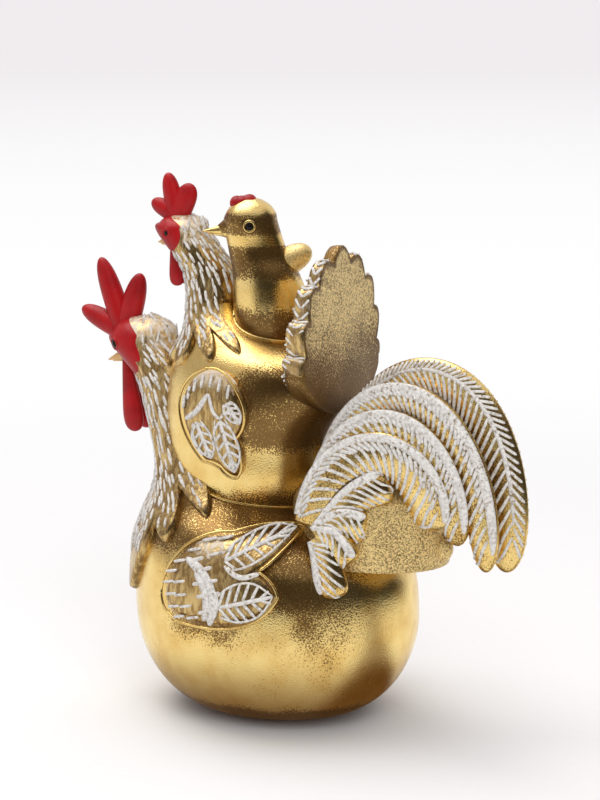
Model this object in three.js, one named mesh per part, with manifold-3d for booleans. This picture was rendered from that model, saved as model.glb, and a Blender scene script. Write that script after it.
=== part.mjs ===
// Chicken family figurine: a rooster carries a hen, and the hen carries a chick. Cast in resin and gilded.
// Millimetres, +Z up. The birds face -X, so their left sides face -Y. The floor is z = 0.
import * as THREE from "three";
import { mergeVertices } from "three/addons/utils/BufferGeometryUtils.js";
import Module from "manifold-3d";

const wasm = await Module();
wasm.setup();

// Fits
const glueGap = 0.3; // room for glue between two castings
const combPegRise = 0.7; // share of the way from the head's middle to its crown
const beakRoot = 0.6; // share of its width that a beak starts behind the face
const castWall = 7; // wall of the hollow rooster
const peg = { diameter: 5, depth: 4, grip: 1.5 }; // cast peg that locates a comb, a wing or a tail
const seatPeg = { diameter: 9, depth: 5, grip: 3 }; // cast peg under the hen and under the chick

// Foot of the rooster
const felt = { length: 38, width: 33, thickness: 1.5 };
const pourHole = { length: 26, width: 22 };

// A bird is a stack of level ovals. Each oval has a height above the bird's own foot, the distance
// of its middle ahead of the foot, a length along the bird and a width across it.
const roosterOvals = {
  foot: { height: 0, ahead: 0, length: 48, width: 41 },
  belly: { height: 38, ahead: 0, length: 111, width: 92 },
  rises: {
    flank: { height: 58, ahead: 1.5, length: 107, width: 88 },
    back: { height: 70, ahead: 8, length: 88, width: 75 },
    shoulder: { height: 79, ahead: 17, length: 64, width: 57 },
    neckRoot: { height: 91, ahead: 27.5, length: 43, width: 42 },
    neck: { height: 107, ahead: 38, length: 32, width: 31 },
    nape: { height: 121, ahead: 46, length: 27, width: 25 },
  },
  head: { height: 133, ahead: 58, length: 26, width: 22 },
  crown: 143,
};
const henOvals = {
  foot: { height: 0, ahead: 0, length: 32, width: 28 },
  belly: { height: 35, ahead: -2, length: 65, width: 53 },
  rises: {
    flank: { height: 50, ahead: -6, length: 72, width: 54 },
    back: { height: 62, ahead: -7, length: 69, width: 50 },
    shoulder: { height: 71, ahead: 0, length: 46, width: 38 },
    neckRoot: { height: 80, ahead: 10.5, length: 23, width: 24 },
    neck: { height: 95, ahead: 15.5, length: 18, width: 18 },
  },
  head: { height: 109, ahead: 26, length: 19, width: 18 },
  crown: 115,
};
const chickOvals = {
  foot: { height: 0, ahead: 0, length: 14, width: 13 },
  belly: { height: 18.5, ahead: 0, length: 27.5, width: 25 },
  rises: {
    back: { height: 27, ahead: 1.5, length: 24.5, width: 23 },
    neck: { height: 35.5, ahead: 4.5, length: 21.5, width: 17 },
  },
  head: { height: 45.5, ahead: 7, length: 20, width: 19.4 },
  crown: 55,
};

// Where the upper birds sit. `rest` is the spot on the back that the foot is measured from.
const henSeat = { ahead: 14, rest: -10, sink: 14 };
const chickSeat = { ahead: -11.5, rest: -11.5, sink: 6.5, turn: 30 };

// Hackles: the drop of pointed feathers around the neck, each at a turn from straight ahead
const roosterHackle = {
  root: 98,
  width: 22,
  proud: 3,
  sunk: 2,
  tips: [
    { turn: 0, height: 38 },
    { turn: 33, height: 43 },
    { turn: 64, height: 66 },
    { turn: 94, height: 76 },
  ],
};
const henHackle = {
  root: 86,
  width: 15,
  proud: 1.6,
  sunk: 1.5,
  tips: [
    { turn: 16, height: 58 },
    { turn: 46, height: 61 },
    { turn: 76, height: 64 },
    { turn: 106, height: 68 },
  ],
};

// Combs stand on a spot ahead of the head's middle. Each lobe tip lies ahead of that spot and above it.
const roosterComb = {
  ahead: 9,
  sink: 7,
  thickness: 8,
  lobes: {
    front: { ahead: 20, up: 8, width: 8.5 },
    middle: { ahead: 11, up: 28, width: 9 },
    rear: { ahead: -7.5, up: 23, width: 9.5 },
  },
};
const henComb = {
  ahead: 3,
  sink: 0.5,
  thickness: 6,
  lobes: {
    front: { ahead: 11, up: 5, width: 7 },
    middle: { ahead: 4, up: 16, width: 7.5 },
    rear: { ahead: -7, up: 12, width: 9.5 },
  },
};
const chickCrest = {
  ahead: 3,
  sink: 3,
  thickness: 7,
  lobes: {
    front: { ahead: 4.5, up: 2, width: 5.5 },
    middle: { ahead: 0, up: 3.6, width: 7 },
    rear: { ahead: -5, up: 2.6, width: 6 },
  },
};

// Beaks point ahead and down. Wattles hang from the chin. Eyes are glass beads.
const roosterFace = {
  beak: { drop: 4, reach: 8, fall: 4.5, width: 7 },
  wattle: { ahead: 6.3, apart: 8, drop: 29, swing: -4, width: 10.5, thickness: 6 },
  eye: { turn: 56, rise: 0, diameter: 4.4 },
};
const henFace = {
  beak: { drop: 3, reach: 4.5, fall: 2, width: 6 },
  wattle: { ahead: 3, apart: 6, drop: 16, swing: -2, width: 7.5, thickness: 4 },
  eye: { turn: 80, rise: 0, diameter: 3.4 },
};
const chickFace = {
  beak: { drop: 2, reach: 8, fall: 1, width: 6.5 },
  eye: { turn: 88, rise: 0, diameter: 3.8 },
};

// Wings stand proud of the flank. Their pegs lie behind the foot and above the belly.
const wingThickness = 4;
const roosterWingPeg = { back: 0, up: 14 };
const henWingPeg = { back: 3, up: 8 };

// Ribs on the rooster's wings, through spots behind the foot and above the belly
const wingRib = { width: 2, thickness: 2.6 };
const roosterWingRibs = {
  upperFeather: [
    [4, 26],
    [13, 31],
    [22, 34.5],
  ],
  lowerFeather: [
    [4, 11],
    [14, 14],
    [23, 15.5],
  ],
  frontBand: [
    [-12, 27],
    [-1, 18],
    [1.5, 5],
  ],
};

// Rooster tail: sizes are measured from its root, on the back behind the foot. A plume bows up to its
// lift over two shares of its reach, the rise and the shoulder, and the swell lifts the shoulder more.
const roosterTail = {
  behind: 28,
  sickleBow: { rise: 0.12, shoulder: 0.97, swell: 0 },
  crestBow: { rise: 0.12, shoulder: 1.06, swell: 13 },
  core: { back: 12, length: 60, width: 48, rise: 17, fall: 12 }, // an upright oval block
  blades: {
    upper: { reach: 40, up: 6, height: 20 },
    lower: { reach: 45.5, up: -5, height: 14 },
  },
  bladeWidth: 8,
  plume: { width: 14, thickness: 8 },
  quill: { width: 3.6, proud: 1, edge: 0.8, crest: 0.35 }, // edge, crest: shares of half a plume's width
  sickles: {
    upper: { rootUp: 14, lift: 66, reach: 62, tipUp: -10, rootSide: 13, tipSide: 7 },
    middle: { rootUp: 10, lift: 53, reach: 52, tipUp: -1, rootSide: 19, tipSide: 9.5 },
    lower: { rootUp: 4, lift: 41, reach: 43.5, tipUp: 4, rootSide: 24, tipSide: 9, width: 18 },
  },
  crest: { rootUp: 16, lift: 71, reach: 70, tipUp: -11 },
  saddles: {
    first: { reach: 27, tipUp: 17, tipSide: 16 },
    second: { reach: 22, tipUp: 4, tipSide: 22 },
    third: { reach: 17, tipUp: -9, tipSide: 26 },
    fourth: { reach: 13, tipUp: -21, tipSide: 29 },
  },
  saddleRoot: { back: 5, side: 27 },
  pegs: { height: 66, turns: [150, 210] },
};

// Hen tail: feathers fan out from a root inside the rump, and a web joins their lower parts
const henTail = {
  behind: 39,
  root: 42,
  feathers: [
    { lean: 0, length: 66 },
    { lean: 12, length: 62 },
    { lean: 24, length: 56 },
    { lean: 36, length: 47 },
    { lean: 47, length: 38 },
  ],
  feather: { width: 14, thickness: 9 },
  web: { width: 52, thickness: 14 },
  webLength: 48,
  flat: 3, // the rear face lies this far behind the feathers' middles
};
const chickTail = { reach: 15, up: 36, rise: 8, width: 11 };

// Faceting
const sides = { large: 28, medium: 20, small: 8, tiny: 6 };
const ringsPerOval = 2;
const weld = 1e-4;

const finishes = {
  gilt: { color: 0xb98a35, roughness: 0.3, metalness: 1 },
  red: { color: 0xb0201c, roughness: 0.35, metalness: 0 },
  ochre: { color: 0xd8963a, roughness: 0.45, metalness: 0 },
  black: { color: 0x101010, roughness: 0.1, metalness: 0 },
  felt: { color: 0x2f4a3a, roughness: 1, metalness: 0 },
  plug: { color: 0xd9d2c0, roughness: 0.6, metalness: 0 },
};

const radians = THREE.MathUtils.degToRad;

function vector(x, y, z) {
  return new THREE.Vector3(x, y, z);
}

// Turning geometry into solids and back
function welded(geometry) {
  const bare = geometry.clone();
  bare.deleteAttribute("normal");
  bare.deleteAttribute("uv");
  return mergeVertices(bare, weld);
}

function solidOf(geometry) {
  const joined = welded(geometry);
  const mesh = new wasm.Mesh({
    numProp: 3,
    vertProperties: new Float32Array(joined.attributes.position.array),
    triVerts: new Uint32Array(joined.index.array),
  });
  return new wasm.Manifold(mesh);
}

function geometryOf(solid) {
  const mesh = solid.getMesh();
  const geometry = new THREE.BufferGeometry();
  geometry.setAttribute("position", new THREE.BufferAttribute(mesh.vertProperties, 3));
  geometry.setIndex(new THREE.BufferAttribute(mesh.triVerts, 1));
  return geometry;
}

function union(solids) {
  return solids.reduce((whole, solid) => whole.add(solid));
}

function carried(solid, matrix) {
  return solidOf(geometryOf(solid).applyMatrix4(matrix));
}

// The same shape with its skin moved out by a distance
function proud(geometry, distance) {
  const grown = welded(geometry);
  grown.computeVertexNormals();
  const { position, normal } = grown.attributes;
  for (let i = 0; i < position.count; i += 1) {
    position.setXYZ(
      i,
      position.getX(i) + normal.getX(i) * distance,
      position.getY(i) + normal.getY(i) * distance,
      position.getZ(i) + normal.getZ(i) * distance,
    );
  }
  return grown;
}

// A closed skin: a sphere whose points are moved. `place` gets the share of the way from the bottom
// to the top, and the turn around.
function skin(around, rings, place) {
  const geometry = new THREE.SphereGeometry(1, around, rings);
  const { position, uv } = geometry.attributes;
  for (let i = 0; i < position.count; i += 1) {
    const spot = place(uv.getY(i), uv.getX(i) * 2 * Math.PI);
    position.setXYZ(i, spot.x, spot.y, spot.z);
  }
  return geometry;
}

// A limb: ovals swept along a curve, thick along `facing`. The profile gives their size along the way.
function limb(curve, facing, { width, thickness, profile, around = sides.small, rings = 8 }) {
  return skin(around, rings, (way, turn) => {
    const share = (1 - Math.cos(Math.PI * way)) / 2;
    const spot = curve.getPoint(share);
    if (way === 0 || way === 1) {
      return spot;
    }
    const along = curve.getTangent(share);
    const across = vector().crossVectors(facing, along).normalize();
    const out = vector().crossVectors(along, across);
    const size = profile(share) / 2;
    spot.addScaledVector(across, -Math.cos(turn) * size * width);
    return spot.addScaledVector(out, -Math.sin(turn) * size * thickness);
  });
}

const profiles = {
  finger: (share) => Math.sqrt(1 - share ** 4),
  drop: (share) => (0.3 + 0.75 * share) * Math.sqrt(1 - share ** 8),
  point: (share) => 1 - share ** 2,
  cone: (share) => 1.05 - share,
  plume: (share) => (0.6 + 0.4 * share) * Math.sqrt(1 - share ** 20),
  blunt: (share) => Math.sqrt(1 - share ** 12),
  leaf: (share) => (0.35 + 0.65 * share) * Math.sqrt(1 - share ** 10),
};

function line(from, to) {
  return new THREE.LineCurve3(from, to);
}

// A round rod between two points
function rod(from, to, diameter) {
  const geometry = new THREE.CylinderGeometry(diameter / 2, diameter / 2, from.distanceTo(to), sides.small);
  const direction = to.clone().sub(from).normalize();
  geometry.applyQuaternion(new THREE.Quaternion().setFromUnitVectors(vector(0, 1, 0), direction));
  const middle = from.clone().lerp(to, 0.5);
  return geometry.translate(middle.x, middle.y, middle.z);
}

// An upright oval plate
function plate({ length, width }, bottom, top) {
  const outline = new THREE.Shape();
  outline.absellipse(0, 0, length / 2, width / 2, 0, 2 * Math.PI);
  const geometry = new THREE.ExtrudeGeometry(outline, {
    depth: top - bottom,
    bevelEnabled: false,
    curveSegments: sides.large,
  });
  return geometry.translate(0, 0, bottom);
}

// A bird's skin through its ovals, rounded off below the belly and above the head
class BirdForm {
  constructor({ foot, belly, rises, head, crown }) {
    const steps = [0, 1, 2, 3];
    const under = steps.map((step) => {
      const swing = (step * Math.PI) / 8;
      return {
        height: foot.height + (belly.height - foot.height) * (1 - Math.cos(swing)),
        ahead: foot.ahead + (belly.ahead - foot.ahead) * Math.sin(swing),
        length: foot.length + (belly.length - foot.length) * Math.sin(swing),
        width: foot.width + (belly.width - foot.width) * Math.sin(swing),
      };
    });
    const over = steps.slice(1).map((step) => {
      const swing = (step * Math.PI) / 8;
      return {
        height: head.height + (crown - head.height) * Math.sin(swing),
        ahead: head.ahead,
        length: head.length * Math.cos(swing),
        width: head.width * Math.cos(swing),
      };
    });
    const ovals = [...under, belly, ...Object.values(rises), head, ...over];
    this.foot = foot;
    this.belly = belly;
    this.head = head;
    this.crown = crown;
    this.spans = ovals.length - 1;
    this.headShare = (ovals.length - 1 - over.length) / this.spans;
    const middles = ovals.map((oval) => vector(oval.ahead, 0, oval.height));
    const sizes = ovals.map((oval) => vector(oval.length, oval.width, 0));
    this.middles = new THREE.CatmullRomCurve3(middles, false, "catmullrom", 0.5);
    this.sizes = new THREE.CatmullRomCurve3(sizes, false, "catmullrom", 0.5);
  }

  // A point of the skin. A turn of 0 is straight ahead and a quarter turn is the left side.
  point(share, turn) {
    const middle = this.middles.getPoint(share);
    const size = this.sizes.getPoint(share);
    return vector(
      -middle.x - (size.x / 2) * Math.cos(turn),
      (-size.y / 2) * Math.sin(turn),
      middle.z,
    );
  }

  normal(share, turn) {
    const step = 1e-3;
    const up = this.point(share + step, turn).sub(this.point(share - step, turn));
    const round = this.point(share, turn + step).sub(this.point(share, turn - step));
    return round.cross(up).normalize();
  }

  // The length of skin that a small turn sweeps, for each radian
  speedAround(share, turn) {
    const step = 1e-3;
    return this.point(share, turn + step).distanceTo(this.point(share, turn - step)) / (2 * step);
  }

  // The share of the way up at which the skin has a height
  shareAt(height) {
    let low = 0;
    let high = 1;
    while (high - low > 1e-6) {
      const middle = (low + high) / 2;
      if (this.middles.getPoint(middle).z < height) {
        low = middle;
      } else {
        high = middle;
      }
    }
    return low;
  }

  // The height of the back, seen in the middle plane, at a distance ahead of the foot
  backAt(ahead) {
    let share = this.headShare;
    while (share > 0 && -this.point(share, Math.PI).x > ahead) {
      share -= 1e-4;
    }
    return this.middles.getPoint(share).z;
  }

  // The turn at which the skin lies a distance behind the foot
  turnAt(share, back) {
    const middle = this.middles.getPoint(share);
    return Math.acos((-2 * (back + middle.x)) / this.sizes.getPoint(share).x);
  }

  geometry(around) {
    const rings = this.spans * ringsPerOval + 2;
    return skin(around, rings, (share, turn) => {
      if (share === 0) {
        return vector(-this.foot.ahead, 0, this.foot.height);
      }
      if (share === 1) {
        return vector(-this.head.ahead, 0, this.crown);
      }
      return this.point((share * rings - 1) / (rings - 2), turn);
    });
  }
}

// Pointed feathers that lie on the skin from the hackle's root down to their tips
function hackleFeathers(form, hackle) {
  const turns = hackle.tips.flatMap((tip) => {
    const pair = tip.turn === 0 ? [1] : [1, -1];
    return pair.map((side) => ({ middle: radians(tip.turn) * side, height: tip.height }));
  });
  return turns.map(({ middle, height }) => {
    const place = (way, turn) => {
      const share = form.shareAt(hackle.root + (height - hackle.root) * way);
      const tight = way === 0 || way === 1;
      const half = tight ? 0 : (profiles.point(way) * hackle.width) / 2;
      const spot = middle - (Math.cos(turn) * half) / form.speedAround(share, middle);
      const out = way === 0 ? 0 : -Math.sin(turn);
      const lift = way === 1 ? hackle.proud / 2 : out * (out > 0 ? hackle.proud : hackle.sunk);
      return form.point(share, spot).addScaledVector(form.normal(share, spot), lift);
    };
    return skin(sides.tiny, 7, place);
  });
}

// A bird holds its group, its casting, the room that glued-on pieces leave clear, and its sockets
function bird(name, ovals, extras, around) {
  const form = new BirdForm(ovals);
  const skins = [form.geometry(around), ...extras(form)];
  const group = new THREE.Group();
  group.name = name;
  return {
    name,
    form,
    group,
    around,
    casting: union(skins.map(solidOf)),
    keepOut: union(skins.map((piece) => solidOf(proud(piece, glueGap)))),
    sockets: [],
  };
}

function addMesh(owner, name, solid, finish) {
  const mesh = new THREE.Mesh(geometryOf(solid), new THREE.MeshStandardMaterial(finish));
  mesh.name = name;
  owner.add(mesh);
}

// A peg that runs from a spot into the bird, and its socket
function pegInto(owner, spot, inward, { diameter, depth, grip }) {
  const start = spot.clone().addScaledVector(inward, -grip);
  const end = spot.clone().addScaledVector(inward, depth);
  const socketEnd = spot.clone().addScaledVector(inward, depth + glueGap);
  owner.sockets.push(solidOf(rod(start, socketEnd, diameter + 2 * glueGap)));
  return solidOf(rod(start, end, diameter));
}

// A peg square to the skin
function pegAt(owner, share, turn) {
  return pegInto(owner, owner.form.point(share, turn), owner.form.normal(share, turn).negate(), peg);
}

function comb(owner, sizes) {
  const { head, crown } = owner.form;
  const foot = vector(-head.ahead - sizes.ahead, 0, crown - sizes.sink);
  const lobes = Object.values(sizes.lobes).map(({ ahead, up, width }) => {
    const tip = foot.clone().add(vector(-ahead, 0, up));
    const shape = { width, thickness: sizes.thickness, profile: profiles.finger };
    return solidOf(limb(line(foot, tip), vector(0, 1, 0), shape));
  });
  return union(lobes).subtract(owner.keepOut);
}

function combPeg(owner) {
  const { head, crown } = owner.form;
  const height = head.height + combPegRise * (crown - head.height);
  return pegAt(owner, owner.form.shareAt(height), 0);
}

function beak(owner, { drop, reach, fall, width }) {
  const { form } = owner;
  const share = form.shareAt(form.head.height - drop);
  const face = form.point(share, 0);
  const root = face.clone().add(vector(width * beakRoot, 0, 0));
  const tip = face.clone().add(vector(-reach, 0, -fall));
  const shape = { width, thickness: width, profile: profiles.cone, rings: 5 };
  return solidOf(limb(line(root, tip), vector(0, 1, 0), shape)).subtract(owner.keepOut);
}

function wattle(owner, side, { ahead, apart, drop, swing, width, thickness }) {
  const { head } = owner.form;
  const root = vector(-head.ahead - ahead, (side * apart) / 2, head.height - head.width / 4);
  const tip = root.clone().add(vector(-swing, 0, -drop));
  const shape = { width, thickness, profile: profiles.drop };
  return solidOf(limb(line(root, tip), vector(0, 1, 0), shape)).subtract(owner.keepOut);
}

function eye(owner, side, { turn, rise, diameter }) {
  const { form } = owner;
  const share = form.shareAt(form.head.height + rise);
  const angle = -side * radians(turn);
  const spot = form.point(share, angle).addScaledVector(form.normal(share, angle), -diameter / 6);
  const bead = (radius) => {
    const ball = new THREE.SphereGeometry(radius, sides.small, sides.tiny);
    return solidOf(ball.translate(spot.x, spot.y, spot.z));
  };
  owner.sockets.push(bead(diameter / 2 + glueGap));
  return bead(diameter / 2);
}

const sideNames = [
  ["left", -1],
  ["right", 1],
];

function addFace(owner, face, beakFinish) {
  const { group, name } = owner;
  addMesh(group, `${name}_beak`, beak(owner, face.beak), beakFinish);
  for (const [word, side] of sideNames) {
    addMesh(group, `${name}_eye_${word}`, eye(owner, side, face.eye), finishes.black);
    if (face.wattle) {
      addMesh(group, `${name}_wattle_${word}`, wattle(owner, side, face.wattle), finishes.red);
    }
  }
}

// Wing outlines, seen from the left: back of the foot and above the belly
function roosterWingOutline() {
  const outline = new THREE.Shape();
  outline.moveTo(-22, 12);
  outline.bezierCurveTo(-21, 24, -11, 35, 3, 34);
  outline.quadraticCurveTo(14, 38, 24, 35);
  outline.quadraticCurveTo(23, 27, 17, 23);
  outline.quadraticCurveTo(24, 20, 25, 15);
  outline.bezierCurveTo(20, 4, 9, 2, -4, 2);
  outline.bezierCurveTo(-16, 2, -22, 5, -22, 12);
  return outline;
}

function henWingOutline() {
  const outline = new THREE.Shape();
  outline.moveTo(2, 28);
  outline.bezierCurveTo(-5, 27, -11, 21, -10.5, 13);
  outline.bezierCurveTo(-10, 6, -5, -1, 0, -6);
  outline.quadraticCurveTo(4, -6, 7, -8);
  outline.quadraticCurveTo(10, -12, 13, -11);
  outline.bezierCurveTo(16, -7, 14, -1, 13, 4);
  outline.bezierCurveTo(18, 9, 18, 15, 16, 19);
  outline.bezierCurveTo(13, 25, 8, 29, 2, 28);
  return outline;
}

function ribOnWing(form, side, spots) {
  const onWing = ([back, up]) => {
    const share = form.shareAt(form.belly.height + up);
    const turn = -side * form.turnAt(share, back);
    const normal = form.normal(share, turn);
    return { spot: form.point(share, turn).addScaledVector(normal, wingThickness), normal };
  };
  const stops = spots.map(onWing);
  const curve = new THREE.CatmullRomCurve3(stops.map(({ spot }) => spot));
  const shape = { ...wingRib, profile: profiles.blunt, around: sides.tiny, rings: 6 };
  return solidOf(limb(curve, stops[1].normal, shape));
}

function wing(owner, side, outline, pegSpot, ribs) {
  const { form } = owner;
  const depth = form.belly.width;
  const block = new THREE.ExtrudeGeometry(outline, { depth, bevelEnabled: false, curveSegments: 5 });
  block.rotateX(Math.PI / 2).translate(0, side > 0 ? depth : 0, form.belly.height);
  const outside = solidOf(proud(form.geometry(owner.around), wingThickness));
  const share = form.shareAt(form.belly.height + pegSpot.up);
  const pin = pegAt(owner, share, -side * form.turnAt(share, pegSpot.back));
  const pad = solidOf(block).intersect(outside).subtract(owner.keepOut);
  return union([pad, pin, ...ribs.map((spots) => ribOnWing(form, side, spots))]);
}

function addWings(owner, outline, pegSpot, ribs, tailRoom) {
  for (const [word, side] of sideNames) {
    const casting = wing(owner, side, outline, pegSpot, ribs).subtract(tailRoom);
    addMesh(owner.group, `${owner.name}_wing_${word}`, casting, finishes.gilt);
  }
}

// The cavity is the lower part of the same form, smaller by the wall
function cavity({ foot, belly, rises }) {
  const inner = (oval) => ({
    ...oval,
    length: oval.length - 2 * castWall,
    width: oval.width - 2 * castWall,
  });
  const form = new BirdForm({
    foot: { ...foot, height: foot.height + castWall },
    belly: inner(belly),
    rises: {},
    head: inner(rises.flank),
    crown: rises.shoulder.height - castWall,
  });
  return solidOf(form.geometry(sides.medium));
}

// The quill of a plume: a rib on both of its faces, at a share of half its width out from its middle
function quillOn(curve, facing, { width, thickness, profile }, out) {
  const { quill } = roosterTail;
  const stops = [0.02, 0.15, 0.3, 0.45, 0.6, 0.75, 0.88, 0.97].map((share) => {
    const across = vector().crossVectors(facing, curve.getTangent(share)).normalize();
    return curve.getPoint(share).addScaledVector(across, (-out * width * profile(share)) / 2);
  });
  const rib = { width: quill.width, thickness: thickness * Math.sqrt(1 - out ** 2) + 2 * quill.proud };
  return limb(new THREE.CatmullRomCurve3(stops), facing, { ...rib, profile, around: sides.tiny, rings: 12 });
}

// Rooster tail
function roosterTailCasting(owner) {
  const { behind, sickleBow, crestBow, core, blades, bladeWidth, plume, quill } = roosterTail;
  const { sickles, crest, saddles, saddleRoot, pegs } = roosterTail;
  const root = vector(behind, 0, owner.form.backAt(-behind));
  const at = (back, side, up) => root.clone().add(vector(back, side, up));
  const upright = vector(0, 0, 1);
  const sideways = vector(0, 1, 0);
  const bowed = (from, to, lift, { rise, shoulder, swell }) => {
    const first = from.clone().lerp(to, rise).setZ(root.z + lift);
    const second = from.clone().lerp(to, shoulder).setZ(root.z + lift + swell);
    return new THREE.CubicBezierCurve3(from, first, second, to);
  };
  const long = { ...plume, profile: profiles.plume, rings: 14 };
  const short = { ...plume, profile: profiles.plume, rings: 6 };
  const pieces = [];
  const middle = line(at(core.back, 0, -core.fall), at(core.back, 0, core.rise));
  const bulk = { width: core.length, thickness: core.width, profile: profiles.blunt };
  pieces.push(limb(middle, sideways, { ...bulk, around: sides.medium }));
  for (const { reach, up, height } of Object.values(blades)) {
    const blade = { width: bladeWidth, thickness: height, profile: profiles.blunt };
    pieces.push(limb(line(at(0, 0, up), at(reach, 0, up)), upright, blade));
  }
  const ridgeTip = at(crest.reach, 0, crest.tipUp);
  const ridge = bowed(at(0, 0, crest.rootUp), ridgeTip, crest.lift, crestBow);
  pieces.push(limb(ridge, sideways, long), quillOn(ridge, sideways, long, quill.crest));
  for (const [, side] of sideNames) {
    for (const { rootUp, lift, reach, tipUp, rootSide, tipSide, width } of Object.values(sickles)) {
      const tip = at(reach, side * tipSide, tipUp);
      const curve = bowed(at(0, side * rootSide, rootUp), tip, lift, sickleBow);
      const shape = { ...long, width: width ?? plume.width };
      pieces.push(limb(curve, sideways, shape), quillOn(curve, sideways, shape, quill.edge));
    }
    for (const { reach, tipUp, tipSide } of Object.values(saddles)) {
      const start = at(saddleRoot.back, side * saddleRoot.side, 0);
      pieces.push(limb(line(start, at(reach, side * tipSide, tipUp)), sideways, short));
    }
  }
  const pegShare = owner.form.shareAt(pegs.height);
  return {
    casting: union(pieces.map(solidOf)).subtract(owner.keepOut),
    pins: pegs.turns.map((turn) => pegAt(owner, pegShare, radians(turn))),
    room: union(pieces.map((piece) => solidOf(proud(piece, glueGap)))),
  };
}

// Hen tail
function henTailCasting(owner) {
  const { behind, root, feathers, feather, web, webLength, flat } = henTail;
  const { back, shoulder } = henOvals.rises;
  const pegShare = owner.form.shareAt((back.height + shoulder.height) / 2);
  const start = vector(behind, 0, root);
  const leaf = (lean, length, size) => {
    const tip = start.clone().add(vector(0, Math.sin(lean) * length, Math.cos(lean) * length));
    return limb(line(start, tip), vector(1, 0, 0), { ...size, profile: profiles.leaf });
  };
  const pieces = feathers.flatMap(({ lean, length }) => {
    const pair = lean === 0 ? [1] : [1, -1];
    return pair.map((side) => leaf(radians(lean) * side, length, feather));
  });
  pieces.push(leaf(0, webLength, web));
  const cutSize = 2 * feathers[0].length;
  const rearCut = new THREE.BoxGeometry(cutSize, cutSize, cutSize);
  rearCut.translate(behind + flat + cutSize / 2, 0, root);
  const fan = union(pieces.map(solidOf)).subtract(solidOf(rearCut));
  return {
    casting: fan.subtract(owner.keepOut),
    pins: [pegAt(owner, pegShare, Math.PI)],
    room: union(pieces.map((piece) => solidOf(proud(piece, glueGap)))),
  };
}

// The chick's tail is a blunt stub that points back and up
function chickStub() {
  const { reach, up, rise, width } = chickTail;
  const curve = line(vector(0, 0, up - rise), vector(reach, 0, up));
  return limb(curve, vector(0, 1, 0), { width, thickness: width, profile: profiles.finger });
}

const figurine = new THREE.Group();
figurine.name = "chicken_family";

const roosterFeathers = (form) => hackleFeathers(form, roosterHackle);
const henFeathers = (form) => hackleFeathers(form, henHackle);
const rooster = bird("rooster", roosterOvals, roosterFeathers, sides.large);
const hen = bird("hen", henOvals, henFeathers, sides.medium);
const chick = bird("chick", chickOvals, () => [chickStub()], sides.medium);

rooster.group.position.z = felt.thickness + glueGap;
hen.group.position.set(-henSeat.ahead, 0, rooster.form.backAt(henSeat.rest) - henSeat.sink);
chick.group.position.set(-chickSeat.ahead, 0, hen.form.backAt(chickSeat.rest) - chickSeat.sink);
chick.group.rotation.z = radians(chickSeat.turn);
hen.group.updateMatrix();
chick.group.updateMatrix();
figurine.add(rooster.group);
rooster.group.add(hen.group);
hen.group.add(chick.group);

addFace(rooster, roosterFace, finishes.ochre);
addFace(hen, henFace, finishes.ochre);
addFace(chick, chickFace, finishes.gilt);
addMesh(rooster.group, "rooster_comb", comb(rooster, roosterComb).add(combPeg(rooster)), finishes.red);
addMesh(hen.group, "hen_comb", comb(hen, henComb).add(combPeg(hen)), finishes.red);
addMesh(chick.group, "chick_crest", comb(chick, chickCrest), finishes.red);

// A tail is also cut by the bird above it, and then gets its pegs
function addTail(owner, above, { casting, pins }) {
  const room = carried(above.keepOut, above.group.matrix);
  addMesh(owner.group, `${owner.name}_tail`, union([casting.subtract(room), ...pins]), finishes.gilt);
}

const roosterTailPiece = roosterTailCasting(rooster);
const henTailPiece = henTailCasting(hen);
addTail(rooster, hen, roosterTailPiece);
addTail(hen, chick, henTailPiece);
const ribs = Object.values(roosterWingRibs);
addWings(rooster, roosterWingOutline(), roosterWingPeg, ribs, roosterTailPiece.room);
addWings(hen, henWingOutline(), henWingPeg, [], henTailPiece.room);

// The foot of the rooster
const footHole = solidOf(plate(pourHole, -1, castWall + 1));
const plugSize = { length: pourHole.length - 2 * glueGap, width: pourHole.width - 2 * glueGap };
addMesh(rooster.group, "base_plug", solidOf(plate(plugSize, 0, castWall)), finishes.plug);
addMesh(figurine, "felt_pad", solidOf(plate(felt, 0, felt.thickness)), finishes.felt);

// An upper bird is cut by the bird that it sits on, and a peg under it goes down into that bird's back
function seated(above, below, { ahead, rest }) {
  const spotAhead = (ahead + rest) / 2;
  const spot = vector(-spotAhead, 0, below.form.backAt(spotAhead));
  const pin = pegInto(below, spot, vector(0, 0, -1), seatPeg);
  const belowToAbove = above.group.matrix.clone().invert();
  const cut = above.casting.subtract(carried(below.keepOut, belowToAbove));
  return cut.add(carried(pin, belowToAbove));
}

function addBody(owner, casting, cuts) {
  const body = [...owner.sockets, ...cuts].reduce((whole, cut) => whole.subtract(cut), casting);
  addMesh(owner.group, `${owner.name}_body`, body, finishes.gilt);
}

const chickCasting = seated(chick, hen, chickSeat);
const henCasting = seated(hen, rooster, henSeat);
addBody(chick, chickCasting, []);
addBody(hen, henCasting, []);
addBody(rooster, rooster.casting, [cavity(roosterOvals), footHole]);

export default figurine;
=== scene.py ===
"""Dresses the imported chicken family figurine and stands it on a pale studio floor.

Each bird is modelled in millimetres in its own frame: it faces -X and its left side is -Y. Its placement
then carries it into the part's frame, in metres.
"""

import math
import random
from bisect import bisect
from typing import NamedTuple

import bmesh
import bpy
from bpy.props import FloatProperty, FloatVectorProperty, PointerProperty
from mathutils import Matrix, Vector


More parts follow.
